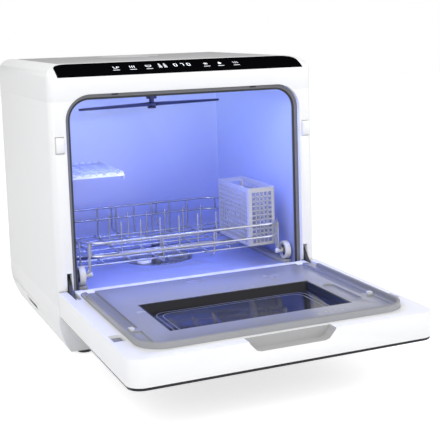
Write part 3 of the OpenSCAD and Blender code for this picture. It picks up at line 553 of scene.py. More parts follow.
class Form:
    """A mesh that is drawn in millimetres and becomes one piece."""

    def __init__(self) -> None:
        """Starts with an empty mesh and the first finish."""
        self.bm = bmesh.new()
        self.coat = 0

    def _faces(self, faces: Iterable[bmesh.types.BMFace]) -> None:
        """Gives faces the finish that is in use."""
        for face in faces:
            face.material_index = self.coat

    @staticmethod
    def _turned(axis: Axis, u: float, v: float, w: float) -> Point:
        """Returns a point with w along the axis and u, v across it, in the axes' order."""
        return {Axis.X: (w, u, v), Axis.Y: (u, w, v), Axis.Z: (u, v, w)}[axis]

    def prism(self, outline: Sequence[Flat], low: float, high: float, axis: Axis = Axis.Z) -> "Form":
        """Adds a straight prism.

        Args:
            outline: Its outline across the axis.
            low: Where it starts along the axis.
            high: Where it ends.
            axis: The axis.

        Returns:
            This form.
        """
        return self.loft([[self._turned(axis, u, v, w) for u, v in outline] for w in (low, high)])

    def loft(self, rings: Sequence[Sequence[Point]], closed: bool = False) -> "Form":
        """Adds a skin over rings of points.

        Args:
            rings: Rings with equal numbers of points.
            closed: True if the last ring joins the first; otherwise both ends are capped.

        Returns:
            This form.
        """
        rows = [[self.bm.verts.new(at(*p)) for p in ring] for ring in rings]
        n = len(rows[0])
        pairs = list(zip(rows, rows[1:])) + ([(rows[-1], rows[0])] if closed else [])
        faces = [self.bm.faces.new((a[i], a[(i + 1) % n], b[(i + 1) % n], b[i]))
                 for a, b in pairs for i in range(n)]
        if not closed:
            faces += [self.bm.faces.new(list(reversed(rows[0]))), self.bm.faces.new(rows[-1])]
        self._faces(faces)
        return self

    def lathe(self, profile: Sequence[Flat], center: Point, axis: Axis, steps: int = 40,
              ribs: float = 0.0) -> "Form":
        """Adds a closed profile turned about an axis.

        Args:
            profile: Points as radius and height along the axis.
            center: The axis's origin.
            axis: The axis.
            steps: Chords round the turn.
            ribs: How far every second step stands back, within RIB_REACH of the largest radius.

        Returns:
            This form.
        """
        top = max(r for r, _ in profile)
        rings = []
        for i in range(steps):
            a = 2 * math.pi * i / steps
            ring = []
            for r, h in profile:
                radius = r - ribs * (i % 2) if r > top - RIB_REACH else r
                u, v = radius * math.cos(a), radius * math.sin(a)
                x, y, z = self._turned(axis, u, v, h)
                ring.append((center[0] + x, center[1] + y, center[2] + z))
            rings.append(ring)
        return self.loft(rings, closed=True)

    def sweep(self, path: Sequence[Point], section: Sequence[Flat], closed: bool = False) -> "Form":
        """Adds a section carried along a path that lies in one plane or turns gently.

        Args:
            path: The points of the path.
            section: The section, as sideways and upward offsets.
            closed: True if the path closes on itself.

        Returns:
            This form.
        """
        points = [Vector(p) for p in path]
        n = len(points)
        rings, side = [], None
        for i, p in enumerate(points):
            before = points[i - 1] if closed or i else p
            after = points[(i + 1) % n] if closed or i < n - 1 else p
            along = (after - before).normalized()
            if side is None:
                side = along.cross(Vector((0, 0, 1)))
                if side.length < 0.1:
                    side = Vector((1, 0, 0))
            side = (side - side.dot(along) * along).normalized()
            up = side.cross(along)
            turn = 1.0
            if 0 < i < n - 1 or closed:
                bend = (p - before).normalized().dot((after - p).normalized())
                turn = 1.0 / max(MITRE_LIMIT, math.sqrt((1 + bend) / 2))
            rings.append([tuple(p + side * (s * turn) + up * h) for s, h in section])
        return self.loft(rings, closed)

    def finish(self, name: str, finishes: Finish | Sequence[Finish], body: str,
               replaces: Iterable[str] = (), edge: float = 0.0, outward: bool = True) -> bpy.types.Object:
        """Turns the form into a piece.

        Args:
            name: The piece's name.
            finishes: Its finish, or its finishes in the order of coat.
            body: The body it rides on.
            replaces: The CAD nodes it stands for.
            edge: Radius of its rounded edges.
            outward: True to turn every face outward.

        Returns:
            The piece.
        """
        bmesh.ops.remove_doubles(self.bm, verts=self.bm.verts, dist=WELD)
        if outward:
            bmesh.ops.recalc_face_normals(self.bm, faces=self.bm.faces)
        if edge > 0:
            round_edges(self.bm, edge, EDGE_STEPS)
        mesh = bpy.data.meshes.new(name)
        self.bm.to_mesh(mesh)
        self.bm.free()
        coats = [finishes] if isinstance(finishes, Finish) else list(finishes)
        for coat in coats:
            mesh.materials.append(coat.material())
        smooth(mesh)
        return dress(linked(name, mesh), body, replaces)


def round_edges(bm: bmesh.types.BMesh, radius: float, segments: int,
                chosen: Callable[[Vector], bool] | None = None, sharp: float = 40.0) -> None:
    """Rounds the sharp outer and inner edges of a mesh.

    Args:
        bm: The mesh.
        radius: The radius in millimetres.
        segments: Steps across the rounding.
        chosen: Picks edges by the middle of the edge, in millimetres on the drawing's axes.
        sharp: Edges with a smaller angle than this, in degrees, stay as they are.
    """
    limit = math.radians(sharp)

    def wanted(edge: bmesh.types.BMEdge) -> bool:
        """Tells if an edge is to be rounded."""
        if len(edge.link_faces) != 2 or edge.calc_face_angle(0.0) < limit:
            return False
        if chosen is None:
            return True
        return chosen(drawn((edge.verts[0].co + edge.verts[1].co) / 2))

    edges = [e for e in bm.edges if wanted(e)]
    if edges:
        bmesh.ops.bevel(bm, geom=edges, offset=radius * MM, segments=segments, profile=0.5,
                        affect="EDGES", clamp_overlap=True, loop_slide=True)


def merged(node: str) -> bmesh.types.BMesh:
    """Returns a copy of a CAD node's mesh with its triangles joined into clean faces."""
    bm = bmesh.new()
    bm.from_mesh(frame["nodes"][node].data)
    bmesh.ops.remove_doubles(bm, verts=bm.verts, dist=WELD)
    bmesh.ops.dissolve_limit(bm, angle_limit=FLAT_ANGLE, verts=bm.verts, edges=bm.edges)
    return bm


@dataclass
class Casting:
    """A CAD node carried over with softened edges and its own finish."""

    node: str
    finish: Finish
    edge: float = 0.5
    big: float = 0.0
    big_where: Callable[[Vector], bool] | None = None
    second: Finish | None = None
    second_where: Callable[[Vector], bool] | None = None
    body: str = "casing"

    def make(self) -> bpy.types.Object:
        """Builds the piece.

        Returns:
            The piece, which replaces its CAD node.
        """
        bm = merged(self.node)
        if self.big > 0:
            round_edges(bm, self.big, BIG_EDGE_STEPS, self.big_where)
        if self.edge > 0:
            round_edges(bm, self.edge, EDGE_STEPS, sharp=50.0)
        if self.second is not None and self.second_where is not None:
            for face in bm.faces:
                if self.second_where(drawn(face.calc_center_median())):
                    face.material_index = 1
        form = Form()
        form.bm = bm
        finishes = [self.finish] + ([self.second] if self.second is not None else [])
        return form.finish(f"{self.node}_piece", finishes, self.body, (self.node,), outward=False)


# ---- geometry nodes ----

class NodeTree:
    """A Geometry Nodes tree that ends in Realize Instances and Set Material."""

    def __init__(self, name: str, sizes: dict[str, float | int | Point]) -> None:
        """Starts a tree with named inputs.

        Args:
            name: The tree's name.
            sizes: Input names with their defaults, which give the inputs' kinds.
        """
        self.tree = bpy.data.node_groups.new(name, "GeometryNodeTree")
        self.ids: dict[str, str] = {}
        face = self.tree.interface
        face.new_socket(name="Geometry", in_out="INPUT", socket_type="NodeSocketGeometry")
        for size, value in sizes.items():
            kind = {int: "Int", float: "Float", tuple: "Vector"}[type(value)]
            made = face.new_socket(name=size, in_out="INPUT", socket_type=f"NodeSocket{kind}")
            made.default_value = value
            self.ids[size] = made.identifier
        made = face.new_socket(name="Material", in_out="INPUT", socket_type="NodeSocketMaterial")
        self.ids["Material"] = made.identifier
        face.new_socket(name="Geometry", in_out="OUTPUT", socket_type="NodeSocketGeometry")
        self.start = self.tree.nodes.new("NodeGroupInput")
        self.last = self.tree.nodes.new("NodeGroupOutput")

    def add(self, kind: str, links: dict[str, bpy.types.NodeSocket] | None = None,
            values: dict[str, object] | None = None, **props: object) -> bpy.types.Node:
        """Adds a node.

        Args:
            kind: The node's type, without its GeometryNode prefix where it has one.
            links: Sockets that feed its inputs, by name.
            values: Plain input values, by name.
            props: The node's own properties.

        Returns:
            The node.
        """
        node = self.tree.nodes.new(kind)
        for name, value in props.items():
            setattr(node, name, value)
        for name, value in (values or {}).items():
            node.inputs[name].default_value = value
        for name, socket in (links or {}).items():
            self.tree.links.new(socket, node.inputs[name])
        return node

    def close(self, geometry: bpy.types.NodeSocket) -> None:
        """Ends the tree with Realize Instances and Set Material."""
        real = self.add("GeometryNodeRealizeInstances", {"Geometry": geometry})
        painted = self.add("GeometryNodeSetMaterial", {"Geometry": real.outputs["Geometry"],
                                                       "Material": self.start.outputs["Material"]})
        self.tree.links.new(painted.outputs["Geometry"], self.last.inputs["Geometry"])

    def grow(self, seed: bpy.types.Mesh, name: str, finish: Finish, body: str,
             sizes: dict[str, float | int | Point], replaces: Iterable[str] = ()) -> bpy.types.Object:
        """Runs the tree on a seed mesh and keeps the result as a plain piece.

        Args:
            seed: The mesh of points or lines that the tree works on.
            name: The piece's name.
            finish: Its finish.
            body: The body it rides on.
            sizes: Values of the tree's inputs, by name.
            replaces: The CAD nodes it stands for.

        Returns:
            The piece.
        """
        holder = linked(name + "_seed", seed)
        modifier = holder.modifiers.new("tree", "NODES")
        modifier.node_group = self.tree
        for size, value in sizes.items():
            modifier[self.ids[size]] = value
        modifier[self.ids["Material"]] = finish.material()
        bpy.context.view_layer.update()
        graph = bpy.context.evaluated_depsgraph_get()
        mesh = bpy.data.meshes.new_from_object(holder.evaluated_get(graph), depsgraph=graph)
        holder.modifiers.remove(modifier)
        bpy.data.objects.remove(holder)
        mesh.name = name
        smooth(mesh, 40.0)
        return dress(linked(name, mesh), body, replaces)


def wire_tree() -> NodeTree:
    """Returns the tree that draws round wires with bent corners along seed lines."""
    tree = NodeTree("bent_wire", {"Radius": 0.0015, "Bend": 0.004, "Sides": WIRE_SIDES})
    lines = tree.add("GeometryNodeMeshToCurve", {"Mesh": tree.start.outputs["Geometry"]})
    bent = tree.add("GeometryNodeFilletCurve", {"Curve": lines.outputs["Curve"],
                                                "Radius": tree.start.outputs["Bend"]},
                    {"Count": BEND_STEPS, "Limit Radius": True}, mode="POLY")
    ring = tree.add("GeometryNodeCurvePrimitiveCircle", {"Resolution": tree.start.outputs["Sides"],
                                                         "Radius": tree.start.outputs["Radius"]})
    skin = tree.add("GeometryNodeCurveToMesh", {"Curve": bent.outputs["Curve"],
                                                "Profile Curve": ring.outputs["Curve"]},
                    {"Fill Caps": True})
    tree.close(skin.outputs["Mesh"])
    return tree


def stud_tree() -> NodeTree:
    """Returns the tree that sets a short tapered stud on each seed point."""
    tree = NodeTree("stud_field", {"Radius": 0.002, "Height": 0.001, "Sides": 12, "Facing": (0.0, 0.0, 1.0)})
    stud = tree.add("GeometryNodeMeshCone", {"Vertices": tree.start.outputs["Sides"],
                                             "Radius Bottom": tree.start.outputs["Radius"],
                                             "Depth": tree.start.outputs["Height"]},
                    {"Side Segments": 1})
    shrink = tree.add("ShaderNodeMath", operation="MULTIPLY")
    shrink.inputs[1].default_value = STUD_TAPER
    tree.tree.links.new(tree.start.outputs["Radius"], shrink.inputs[0])
    tree.tree.links.new(shrink.outputs[0], stud.inputs["Radius Top"])
    turn = tree.add("FunctionNodeAlignRotationToVector", {"Vector": tree.start.outputs["Facing"]}, axis="Z")
    placed = tree.add("GeometryNodeInstanceOnPoints", {"Points": tree.start.outputs["Geometry"],
                                                       "Instance": stud.outputs["Mesh"],
                                                       "Rotation": turn.outputs["Rotation"]})
    tree.close(placed.outputs["Instances"])
    return tree


def bar_tree() -> NodeTree:
    """Returns the tree that repeats a small block along one axis from each seed point."""
    tree = NodeTree("bar_row", {"Count": 8, "Step X": 0.0, "Step Y": 0.0, "Step Z": 0.0,
                                "Size X": 0.01, "Size Y": 0.01, "Size Z": 0.002})
    sockets = tree.start.outputs
    step, size = (tree.add("ShaderNodeCombineXYZ", {axis: sockets[f"{word} {axis}"] for axis in "XYZ"})
                  for word in ("Step", "Size"))
    row = tree.add("GeometryNodeMeshLine", {"Count": sockets["Count"], "Offset": step.outputs[0]},
                   mode="OFFSET")
    block = tree.add("GeometryNodeMeshCube", {"Size": size.outputs[0]})
    bars = tree.add("GeometryNodeInstanceOnPoints", {"Points": row.outputs["Mesh"],
                                                     "Instance": block.outputs["Mesh"]})
    placed = tree.add("GeometryNodeInstanceOnPoints", {"Points": sockets["Geometry"],
                                                       "Instance": bars.outputs["Instances"]})
    tree.close(placed.outputs["Instances"])
    return tree


def seed_lines(lines: Sequence[Sequence[Point]], closed: bool = False) -> bpy.types.Mesh:
    """Returns a mesh of separate lines.

    Args:
        lines: The points of each line.
        closed: True if each line closes on itself.

    Returns:
        The mesh.
    """
    points: list[Vector] = []
    edges: list[tuple[int, int]] = []
    for line in lines:
        first = len(points)
        points += [at(*p) for p in line]
        edges += [(i, i + 1) for i in range(first, len(points) - 1)]
        if closed:
            edges.append((len(points) - 1, first))
    mesh = bpy.data.meshes.new("seed")
    mesh.from_pydata(points, edges, [])
    return mesh


def seed_points(points: Sequence[Point]) -> bpy.types.Mesh:
    """Returns a mesh of loose points."""
    mesh = bpy.data.meshes.new("seed")
    mesh.from_pydata([at(*p) for p in points], [], [])
    return mesh


WIRES = wire_tree()
STUDS = stud_tree()
BARS = bar_tree()


# ---- casing ----

@dataclass
class Casing:
    """The white casing with its frame, top, gasket, latches, back and feet."""

    depth: float = 376.0
    height: float = 435.0
    mouth_half: float = 186.0
    mouth_low: float = 92.0
    mouth_high: float = 392.0
    mouth_r: float = 38.0
    mouth_low_r: float = 12.0
    cap_center: Flat = (0.0, 290.0)
    cap_r: float = 54.0
    cap_collar: Flat = (36.5, 39.7)
    grip_half: float = 7.6
    cap_angle: float = 24.0
    latch_x: float = 196.0
    latch_z: float = 321.0
    latch_half: float = 5.7
    drain_x: float = 110.0
    drain_half: float = 5.0
    trim_half: float = 171.0
    trim_y: float = 50.5
    screw_x: float = 188.0
    screw_z: tuple[float, ...] = (98.0, 234.5, 371.0)
    foot_x: float = 162.0
    foot_y: tuple[float, ...] = (50.0, 340.0)

    def build(self) -> None:
        """Builds every piece of the casing."""
        for casting in self._castings():
            casting.make()
        self._gasket()
        self._fill_cap()
        self._top_trim()
        self._latches()
        self._back()
        self._feet()

    def _castings(self) -> list[Casting]:
        """Returns the CAD nodes that are carried over with softened edges."""
        return [
            Casting("base_tray", WHITE, 0.5),
            Casting("left_side_panel", WHITE, 0.35),
            Casting("right_side_panel", WHITE, 0.35),
            Casting("front_frame", WHITE, 0.4, 1.6, lambda p: p.y < 0.5 and self._at_mouth(p)),
            Casting("back_panel", PALE_GREY, 0.3),
            Casting("top_cover", WHITE, 0.4),
            Casting("top_panel", TOP_GREY, 0.25),
            Casting("control_panel", STRIP_BLACK, 0.25),
            Casting("hinge_brackets", HINGE_BLACK, 0.4),
            Casting("latch_housings", MID, 0.3),
            Casting("water_tank", PALE_GREY, 0.6),
            Casting("fill_collar", PALE_GREY, 0.4),
            Casting("tank_duct", PALE_GREY, 0.4),
            Casting("board_carrier", MID, 0.3),
            Casting("control_board", BOARD, 0.15),
        ]

    def _at_mouth(self, p: Vector) -> bool:
        """Tells if a point lies on the rim of the mouth."""
        return abs(p.x) < self.mouth_half + 1 and self.mouth_low + 20 < p.z < self.mouth_high + 1

    def _mouth_path(self, inset: float, y: float) -> list[Point]:
        """Returns the mouth's outline, drawn in by inset, at a depth.

        Args:
            inset: How far inside the mouth it runs.
            y: Its depth behind the front face.

        Returns:
            The points of the closed path, anticlockwise from the lower right.
        """
        x, low, high = self.mouth_half - inset, self.mouth_low + inset, self.mouth_high - inset
        r, rl = self.mouth_r - inset, self.mouth_low_r - inset
        flat = (arc(x - rl, low + rl, rl, -90, 0, 6) + arc(x - r, high - r, r, 0, 90, 14)
                + arc(r - x, high - r, r, 90, 180, 14) + arc(rl - x, low + rl, rl, 180, 270, 6))
        return [(u, y, v) for u, v in flat]

    def _gasket(self) -> None:
        """Builds the two-tone seal round the mouth, with dark plates of painted shade for its drain slots."""
        band = Form()
        view = [(-1.9, -3.6), (1.9, -3.6), (1.9, 2.9), (1.2, 3.6), (-1.2, 3.6), (-1.9, 2.9)]
        band.sweep(self._mouth_path(2.0, 10.2), view, closed=True)
        band.finish("mouth_gasket_band", SEAL_GREY, "casing", ("mouth_gasket",))
        lip = Form()
        oval = [(1.6 * math.cos(a / 5 * math.pi), 3.2 * math.sin(a / 5 * math.pi)) for a in range(10)]
        lip.sweep(self._mouth_path(5.4, 10.4), oval, closed=True)
        lip.finish("mouth_gasket_lip", SEAL_DARK, "casing")
        # The drain slots are dark plates: painted shade in the openings.
        slots = Form()
        top = self.mouth_high - 0.8
        for x in (-self.drain_x, self.drain_x):
            slots.prism(rounded(x - self.drain_half, top - 2.3, x + self.drain_half, top, 1.1, 4), 6.3, 7.2,
                        Axis.Y)
        slots.finish("gasket_drain_slots", SEAL_DARK, "casing")

    def _fill_cap(self) -> None:
        """Builds the round cap with its sunk bowl and diagonal grip bar, and a dark ring of painted shadow in
        the gap round it.
        """
        cx, cy = self.cap_center
        top, r, (inner, outer) = self.height, self.cap_r, self.cap_collar
        cap = Form()
        cap.lathe([(0.02, top - 3.4), (r - 9.0, top - 3.4), (r - 7.6, top - 0.7), (r - 6.6, top),
                   (r - 1.2, top), (r - 0.2, top - 0.8), (r, top - 6.6), (outer, top - 6.6),
                   (outer, top - 20.0), (inner, top - 20.0), (inner, top - 7.4), (0.02, top - 7.4)],
                  (cx, cy, 0.0), Axis.Z, 72)
        half, wide = r - 9.6, self.grip_half
        outline = rounded(-half, -wide, half, wide, 5.0)
        rings = []
        for grow, z in ((0.6, top - 3.5), (0.0, top - 1.0), (-0.9, top - 0.1), (-2.0, top - 0.02)):
            grown = [(u * (1 + grow / half), v * (1 + grow / wide)) for u, v in outline]
            rings.append([(x, y, z) for x, y in rotated(grown, self.cap_angle, cx, cy)])
        cap.loft(rings)
        cap.finish("fill_cap_piece", CAP_GREY, "cap", ("fill_cap",))
        # A thin ring in the dark seal material is painted shadow in the gap between the cap and the top.
        seal = Form()
        seal.lathe(box(r + 0.15, top - 1.6, r + 0.85, top - 2.6), (cx, cy, 0.0), Axis.Z, 72)
        seal.finish("fill_cap_shadow_ring", SEAL_DARK, "casing")

    def _top_trim(self) -> None:
        """Builds the thin pale trim between the strip and the grey top."""
        half, y, z = self.trim_half, self.trim_y, self.height - 0.25
        trim = Form()
        trim.sweep([(-half, y, z), (half, y, z)], rounded(-0.9, -0.35, 0.9, 0.2, 0.2, 3))
        trim.finish("top_front_trim", PALE_GREY, "casing")

    def _latches(self) -> None:
        """Builds the two latch tabs, each with a sloping nose."""
        for side, name in ((-1, "left"), (1, "right")):
            x = side * self.latch_x
            tab = Form()
            view = [(31.0, -11.4), (31.0, 11.4), (-1.5, 11.4), (-3.6, 8.0), (-3.95, 2.0), (-3.95, -7.6),
                    (-2.0, -11.4)]
            tab.prism([(y, self.latch_z + h) for y, h in view], x - self.latch_half, x + self.latch_half,
                      Axis.X)
            tab.finish(f"{name}_latch_tab", WHITE, f"{name}_latch", (f"{name}_latch",), edge=0.9)

    def _back(self) -> None:
        """Builds the case screws on the back, with dark crosses of painted shade for their cross recesses."""
        points = [(x, self.depth + 1.1, z) for x in (-self.screw_x, self.screw_x) for z in self.screw_z]
        STUDS.grow(seed_points(points), "case_screw_heads", STEEL, "casing",
                   {"Radius": 0.0038, "Height": 0.0022, "Sides": 20, "Facing": (0.0, 1.0, 0.0)},
                   ("case_screws",))
        # The dark crosses on the heads are painted shade standing in for the cross recesses.
        slots = Form()
        for x, y, z in points:
            for turn in (45, 135):
                slots.prism(rotated(box(-1.9, -0.35, 1.9, 0.35), turn, x, z), y + 0.9, y + 1.2, Axis.Y)
        slots.finish("case_screw_crosses", DARK, "casing")

    def _feet(self) -> None:
        """Builds the four rubber feet with a rounded sole and a groove."""
        feet = Form()
        for x in (-self.foot_x, self.foot_x):
            for y in self.foot_y:
                feet.lathe([(0.02, 0.0), (10.6, 0.0), (11.7, 0.9), (11.95, 3.0), (11.2, 3.6), (11.2, 4.4),
                            (11.95, 5.0), (11.95, 7.9), (0.02, 7.9)], (x, y, 0.0), Axis.Z, 40)
        feet.finish("rubber_feet_piece", DARK, "casing", ("rubber_feet",))


# ---- touch strip ----

@dataclass
class TouchStrip:
    """The lit icons and digits on the curved strip over the mouth."""

    run: float = 56.0
    drop: float = 19.0
    height: float = 435.0
    lift: float = 0.12
    icon_y: float = 21.0
    slider_x: Flat = (-35.0, -27.0)
    digit_step: float = 10.5
    digit_size: Flat = (5.4, 9.0)
    segment: float = 1.0
    gap: float = 0.3

    def build(self) -> None:
        """Builds every mark on the strip."""
        icons = Form()
        for x, draw in ((-104.0, self._cup), (-78.0, self._plates), (-53.0, self._bowl), (38.0, self._spark),
                        (61.0, self._drops), (87.0, self._waves)):
            draw(icons, x)
            self._plate(icons, box(x - 5, self.icon_y - 8.2, x + 5, self.icon_y - 7.4))
        self._slider(icons)
        icons.finish("strip_icons", ICON, "casing")
        digits = Form()
        for place, number in ((-1, 0), (0, 7), (1, 0)):
            self._digit(digits, place * self.digit_step, number)
        digits.finish("strip_digits", DIGIT, "casing")

    def _on_strip(self, x: float, y: float, up: float) -> Point:
        """Returns a point above the strip's curved face.

        Args:
            x: Its place across.
            y: Its depth.
            up: Its height over the face.

        Returns:
            The point.
        """
        r = (self.run ** 2 + self.drop ** 2) / (2 * self.drop)
        k = (r + up) / r
        dy = y - self.run
        return (x, self.run + dy * k, self.height - r + math.sqrt(r * r - dy * dy) * k)

    def _plate(self, form: Form, outline: Sequence[Flat]) -> None:
        """Adds a thin mark with an outline given across the strip."""
        form.loft([[self._on_strip(x, y, up) for x, y in outline] for up in (0.01, self.lift)])

    def _ring(self, form: Form, x: float, y: float, r: float, wide: float) -> None:
        """Adds a thin ring.

        Args:
            form: The form it goes in.
            x: Its centre across.
            y: Its centre's depth.
            r: Its outer radius.
            wide: Its line width.
        """
        outer, inner = arc(x, y, r, 0, 340, 17), arc(x, y, r - wide, 340, 0, 17)
        self._plate(form, outer + inner)

    def _cup(self, form: Form, x: float) -> None:
        """Adds the pictogram of a cup."""
        y = self.icon_y
        self._plate(form, [(x - 3.4, y + 3), (x - 2.6, y - 3), (x + 2.6, y - 3), (x + 3.4, y + 3),
                           (x + 2.6, y + 3), (x + 1.9, y - 2.1), (x - 1.9, y - 2.1), (x - 2.6, y + 3)])
        self._ring(form, x + 4.4, y + 0.6, 1.9, 0.6)

    def _plates(self, form: Form, x: float) -> None:
        """Adds the pictogram of standing plates."""
        for i in range(3):
            left = x - 4 + i * 3.2
            self._plate(form, rounded(left, self.icon_y - 3.2, left + 1.1, self.icon_y + 3.2, 0.5, 3))

    def _bowl(self, form: Form, x: float) -> None:
        """Adds the pictogram of a bowl."""
        y = self.icon_y + 1.2
        self._plate(form, arc(x, y, 4.6, 180, 360, 12) + [(x + 3.6, y)] + arc(x, y, 3.6, 360, 180, 12))
        self._plate(form, box(x - 5, y + 0.9, x + 5, y + 1.7))

    def _spark(self, form: Form, x: float) -> None:
        """Adds the pictogram of a ray."""
        for turn in range(4):
            self._plate(form, rotated(box(-3.6, -0.3, 3.6, 0.3), 45 * turn, x, self.icon_y))

    def _drops(self, form: Form, x: float) -> None:
        """Adds the pictogram of a drop."""
        y = self.icon_y - 0.6
        self._plate(form, arc(x, y, 2.6, 150, 390, 12) + [(x, y + 4.6)])

    def _waves(self, form: Form, x: float) -> None:
        """Adds the pictogram of rising air."""
        for i in range(3):
            x0 = x - 3.2 + i * 3.2
            line = [(x0 + 0.7 * math.sin(k), self.icon_y - 3 + k) for k in range(7)]
            self._plate(form, line + [(u + 0.7, v) for u, v in reversed(line)])

    def _slider(self, form: Form) -> None:
        """Adds the marks of the level slider."""
        for i in range(6):
            for x in self.slider_x:
                w, y = 2.6 - i * 0.25, self.icon_y - 6 + i * 2.3
                self._plate(form, box(x - w, y, x + w, y + 1))

    def _digit(self, form: Form, x: float, number: int) -> None:
        """Adds a seven-segment digit.

        Args:
            form: The form it goes in.
            x: Its middle.
            number: The number, 0 or 7.
        """
        half, rise = (side / 2 for side in self.digit_size)
        t, y, gap = self.segment, self.icon_y, self.gap
        left, right, low, high = x - half, x + half, y - rise, y + rise
        bars = {"a": (left + t, high - t, right - t, high), "b": (right - t, y + gap, right, high - t),
                "c": (right - t, low + t, right, y - gap), "d": (left + t, low, right - t, low + t),
                "e": (left, low + t, left + t, y - gap), "f": (left, y + gap, left + t, high - t)}
        for key in {0: "abcdef", 7: "abc"}[number]:
            self._plate(form, box(*bars[key]))


# ---- tub and machinery ----

@dataclass
class Tub:
    """The washing chamber, what feeds it and the machinery under it."""

    inner_half: float = 178.0
    floor_z: float = 100.0
    top_z: float = 384.0
    back: float = 332.0
    middle_y: float = 173.0
    lens_half: float = 91.5
    lens_y: Flat = (24.2, 33.8)
    hole_rings: int = 4
    first_ring: float = 27.0
    ring_step: float = 8.5
    first_holes: int = 16
    more_holes: int = 6
    clear_at: Flat = (30.0, 155.0)
    clear_r: float = 21.0
    spigot_y: float = 394.0
    inlet_at: Flat = (150.0, 122.0)
    inlet_half: float = 19.8
    drain_at: Flat = (106.0, 116.0)

    def build(self) -> None:
        """Builds every piece of the tub and the machinery."""
        for casting in self._castings():
            casting.make()
        self._light_bar()
        self._filter()
        self._spigots()

    def _castings(self) -> list[Casting]:
        """Returns the CAD nodes that are carried over with softened edges."""
        return [
            # The tub's inside has the painted blue light; its outer skin is plain steel.
            Casting("tub", TUB_STEEL_PAINTED_BLUE, 0.4, 7.0, self._inner_corner, STEEL, self._outside),
            Casting("rack_runners", LINER_PALE, 0.8),
            Casting("feed_pipe", ARM_PAINTED_BLUE_SHADE, 0.4),
            Casting("sump", MID, 0.4),
            Casting("wash_pump", MID, 0.5),
            Casting("pump_motor", DARK, 0.6),
            Casting("flow_heater", STEEL, 0.6),
            Casting("drain_pump", MID, 0.6),
            Casting("power_board", BOARD, 0.2),
            Casting("cable_gland", DARK, 0.4),
            Casting("filter_cup", MID, 0.3, body="filter"),
            Casting("water_float", WHITE, 0.6, body="float"),
            Casting("pump_impeller", WHITE, 0.3, body="impeller"),
        ]

    def _inner_corner(self, p: Vector) -> bool:
        """Tells if a point lies on the corner between the tub's walls and its back."""
        return abs(p.y - (self.back - 2)) < 0.5 and abs(p.x) < self.inner_half + 0.5

    def _outside(self, p: Vector) -> bool:
        """Tells if a point lies on the tub's outer skin, which no light falls on; it keeps plain steel,
        without the painted blue light.
        """
        return (abs(p.x) > self.inner_half + 1 or p.y > self.back - 1
                or not self.floor_z - 1 < p.z < self.top_z + 1)

    def _light_bar(self) -> None:
        """Builds the lens of the light bar under the tub's roof."""
        bar = Form()
        bar.prism(rounded(self.lens_y[0], self.top_z - 1.2, self.lens_y[1], self.top_z - 0.1, 0.5),
                  -self.lens_half, self.lens_half, Axis.X)
        bar.finish("light_bar_lens", LIGHT, "casing", ("light_bar",))

    def _filter(self) -> None:
        """Builds the round filter plate with rings of holes, clear of the cup and the float; each hole is a
        dark disc of painted shade.
        """
        Casting("filter_plate", STEEL, 0.2).make()
        points = []
        for ring in range(self.hole_rings):
            r = self.first_ring + ring * self.ring_step
            count = self.first_holes + ring * self.more_holes
            for i in range(count):
                a = 2 * math.pi * i / count
                x, y = r * math.cos(a), self.middle_y + r * math.sin(a)
                if math.hypot(abs(x) - self.clear_at[0], y - self.clear_at[1]) > self.clear_r:
                    points.append((x, y, self.floor_z + 0.12))
        # Each hole is a flat dark disc on the plate: painted shade where the sump shows through.
        STUDS.grow(seed_points(points), "filter_holes", DARK, "casing",
                   {"Radius": 0.0014, "Height": 0.0003, "Sides": 10})

    def _spigots(self) -> None:
        """Builds the water inlet with its thread and the drain outlet with its barbs."""
        end = self.spigot_y
        inlet, (x, z) = Form(), self.inlet_at
        profile = [(9.0, 364.0), (9.0, end), (12.2, end)]
        for i in range(7):
            y = end - 1.4 - i * 1.9
            profile += [(13.1, y), (13.1, y - 0.5), (12.2, y - 1.0), (12.2, y - 1.4)]
        profile += [(13.1, 378.5), (13.1, 343.6), (9.0, 343.6)]
        inlet.lathe(profile, (x, 0.0, z), Axis.Y, 48)
        half = self.inlet_half
        inlet.prism(rounded(x - half, z - half, x + half, z + half, 3.0), 343.2, 372.8, Axis.Y)
        inlet.finish("inlet_valve_piece", PALE_GREY, "casing", ("inlet_valve",))
        drain, (x, z) = Form(), self.drain_at
        profile = [(6.5, 357.2), (6.5, end), (7.7, end)]
        for i in range(4):
            y = end - 1.0 - i * 4.2
            profile += [(9.4, y - 2.6), (8.3, y - 2.9)]
        profile += [(8.6, 373.0), (13.9, 373.0), (13.9, 367.2), (9.4, 367.2), (9.4, 357.2)]
        drain.lathe(profile, (x, 0.0, z), Axis.Y, 48)
        drain.finish("drain_outlet_piece", PALE_GREY, "casing", ("drain_outlet",))


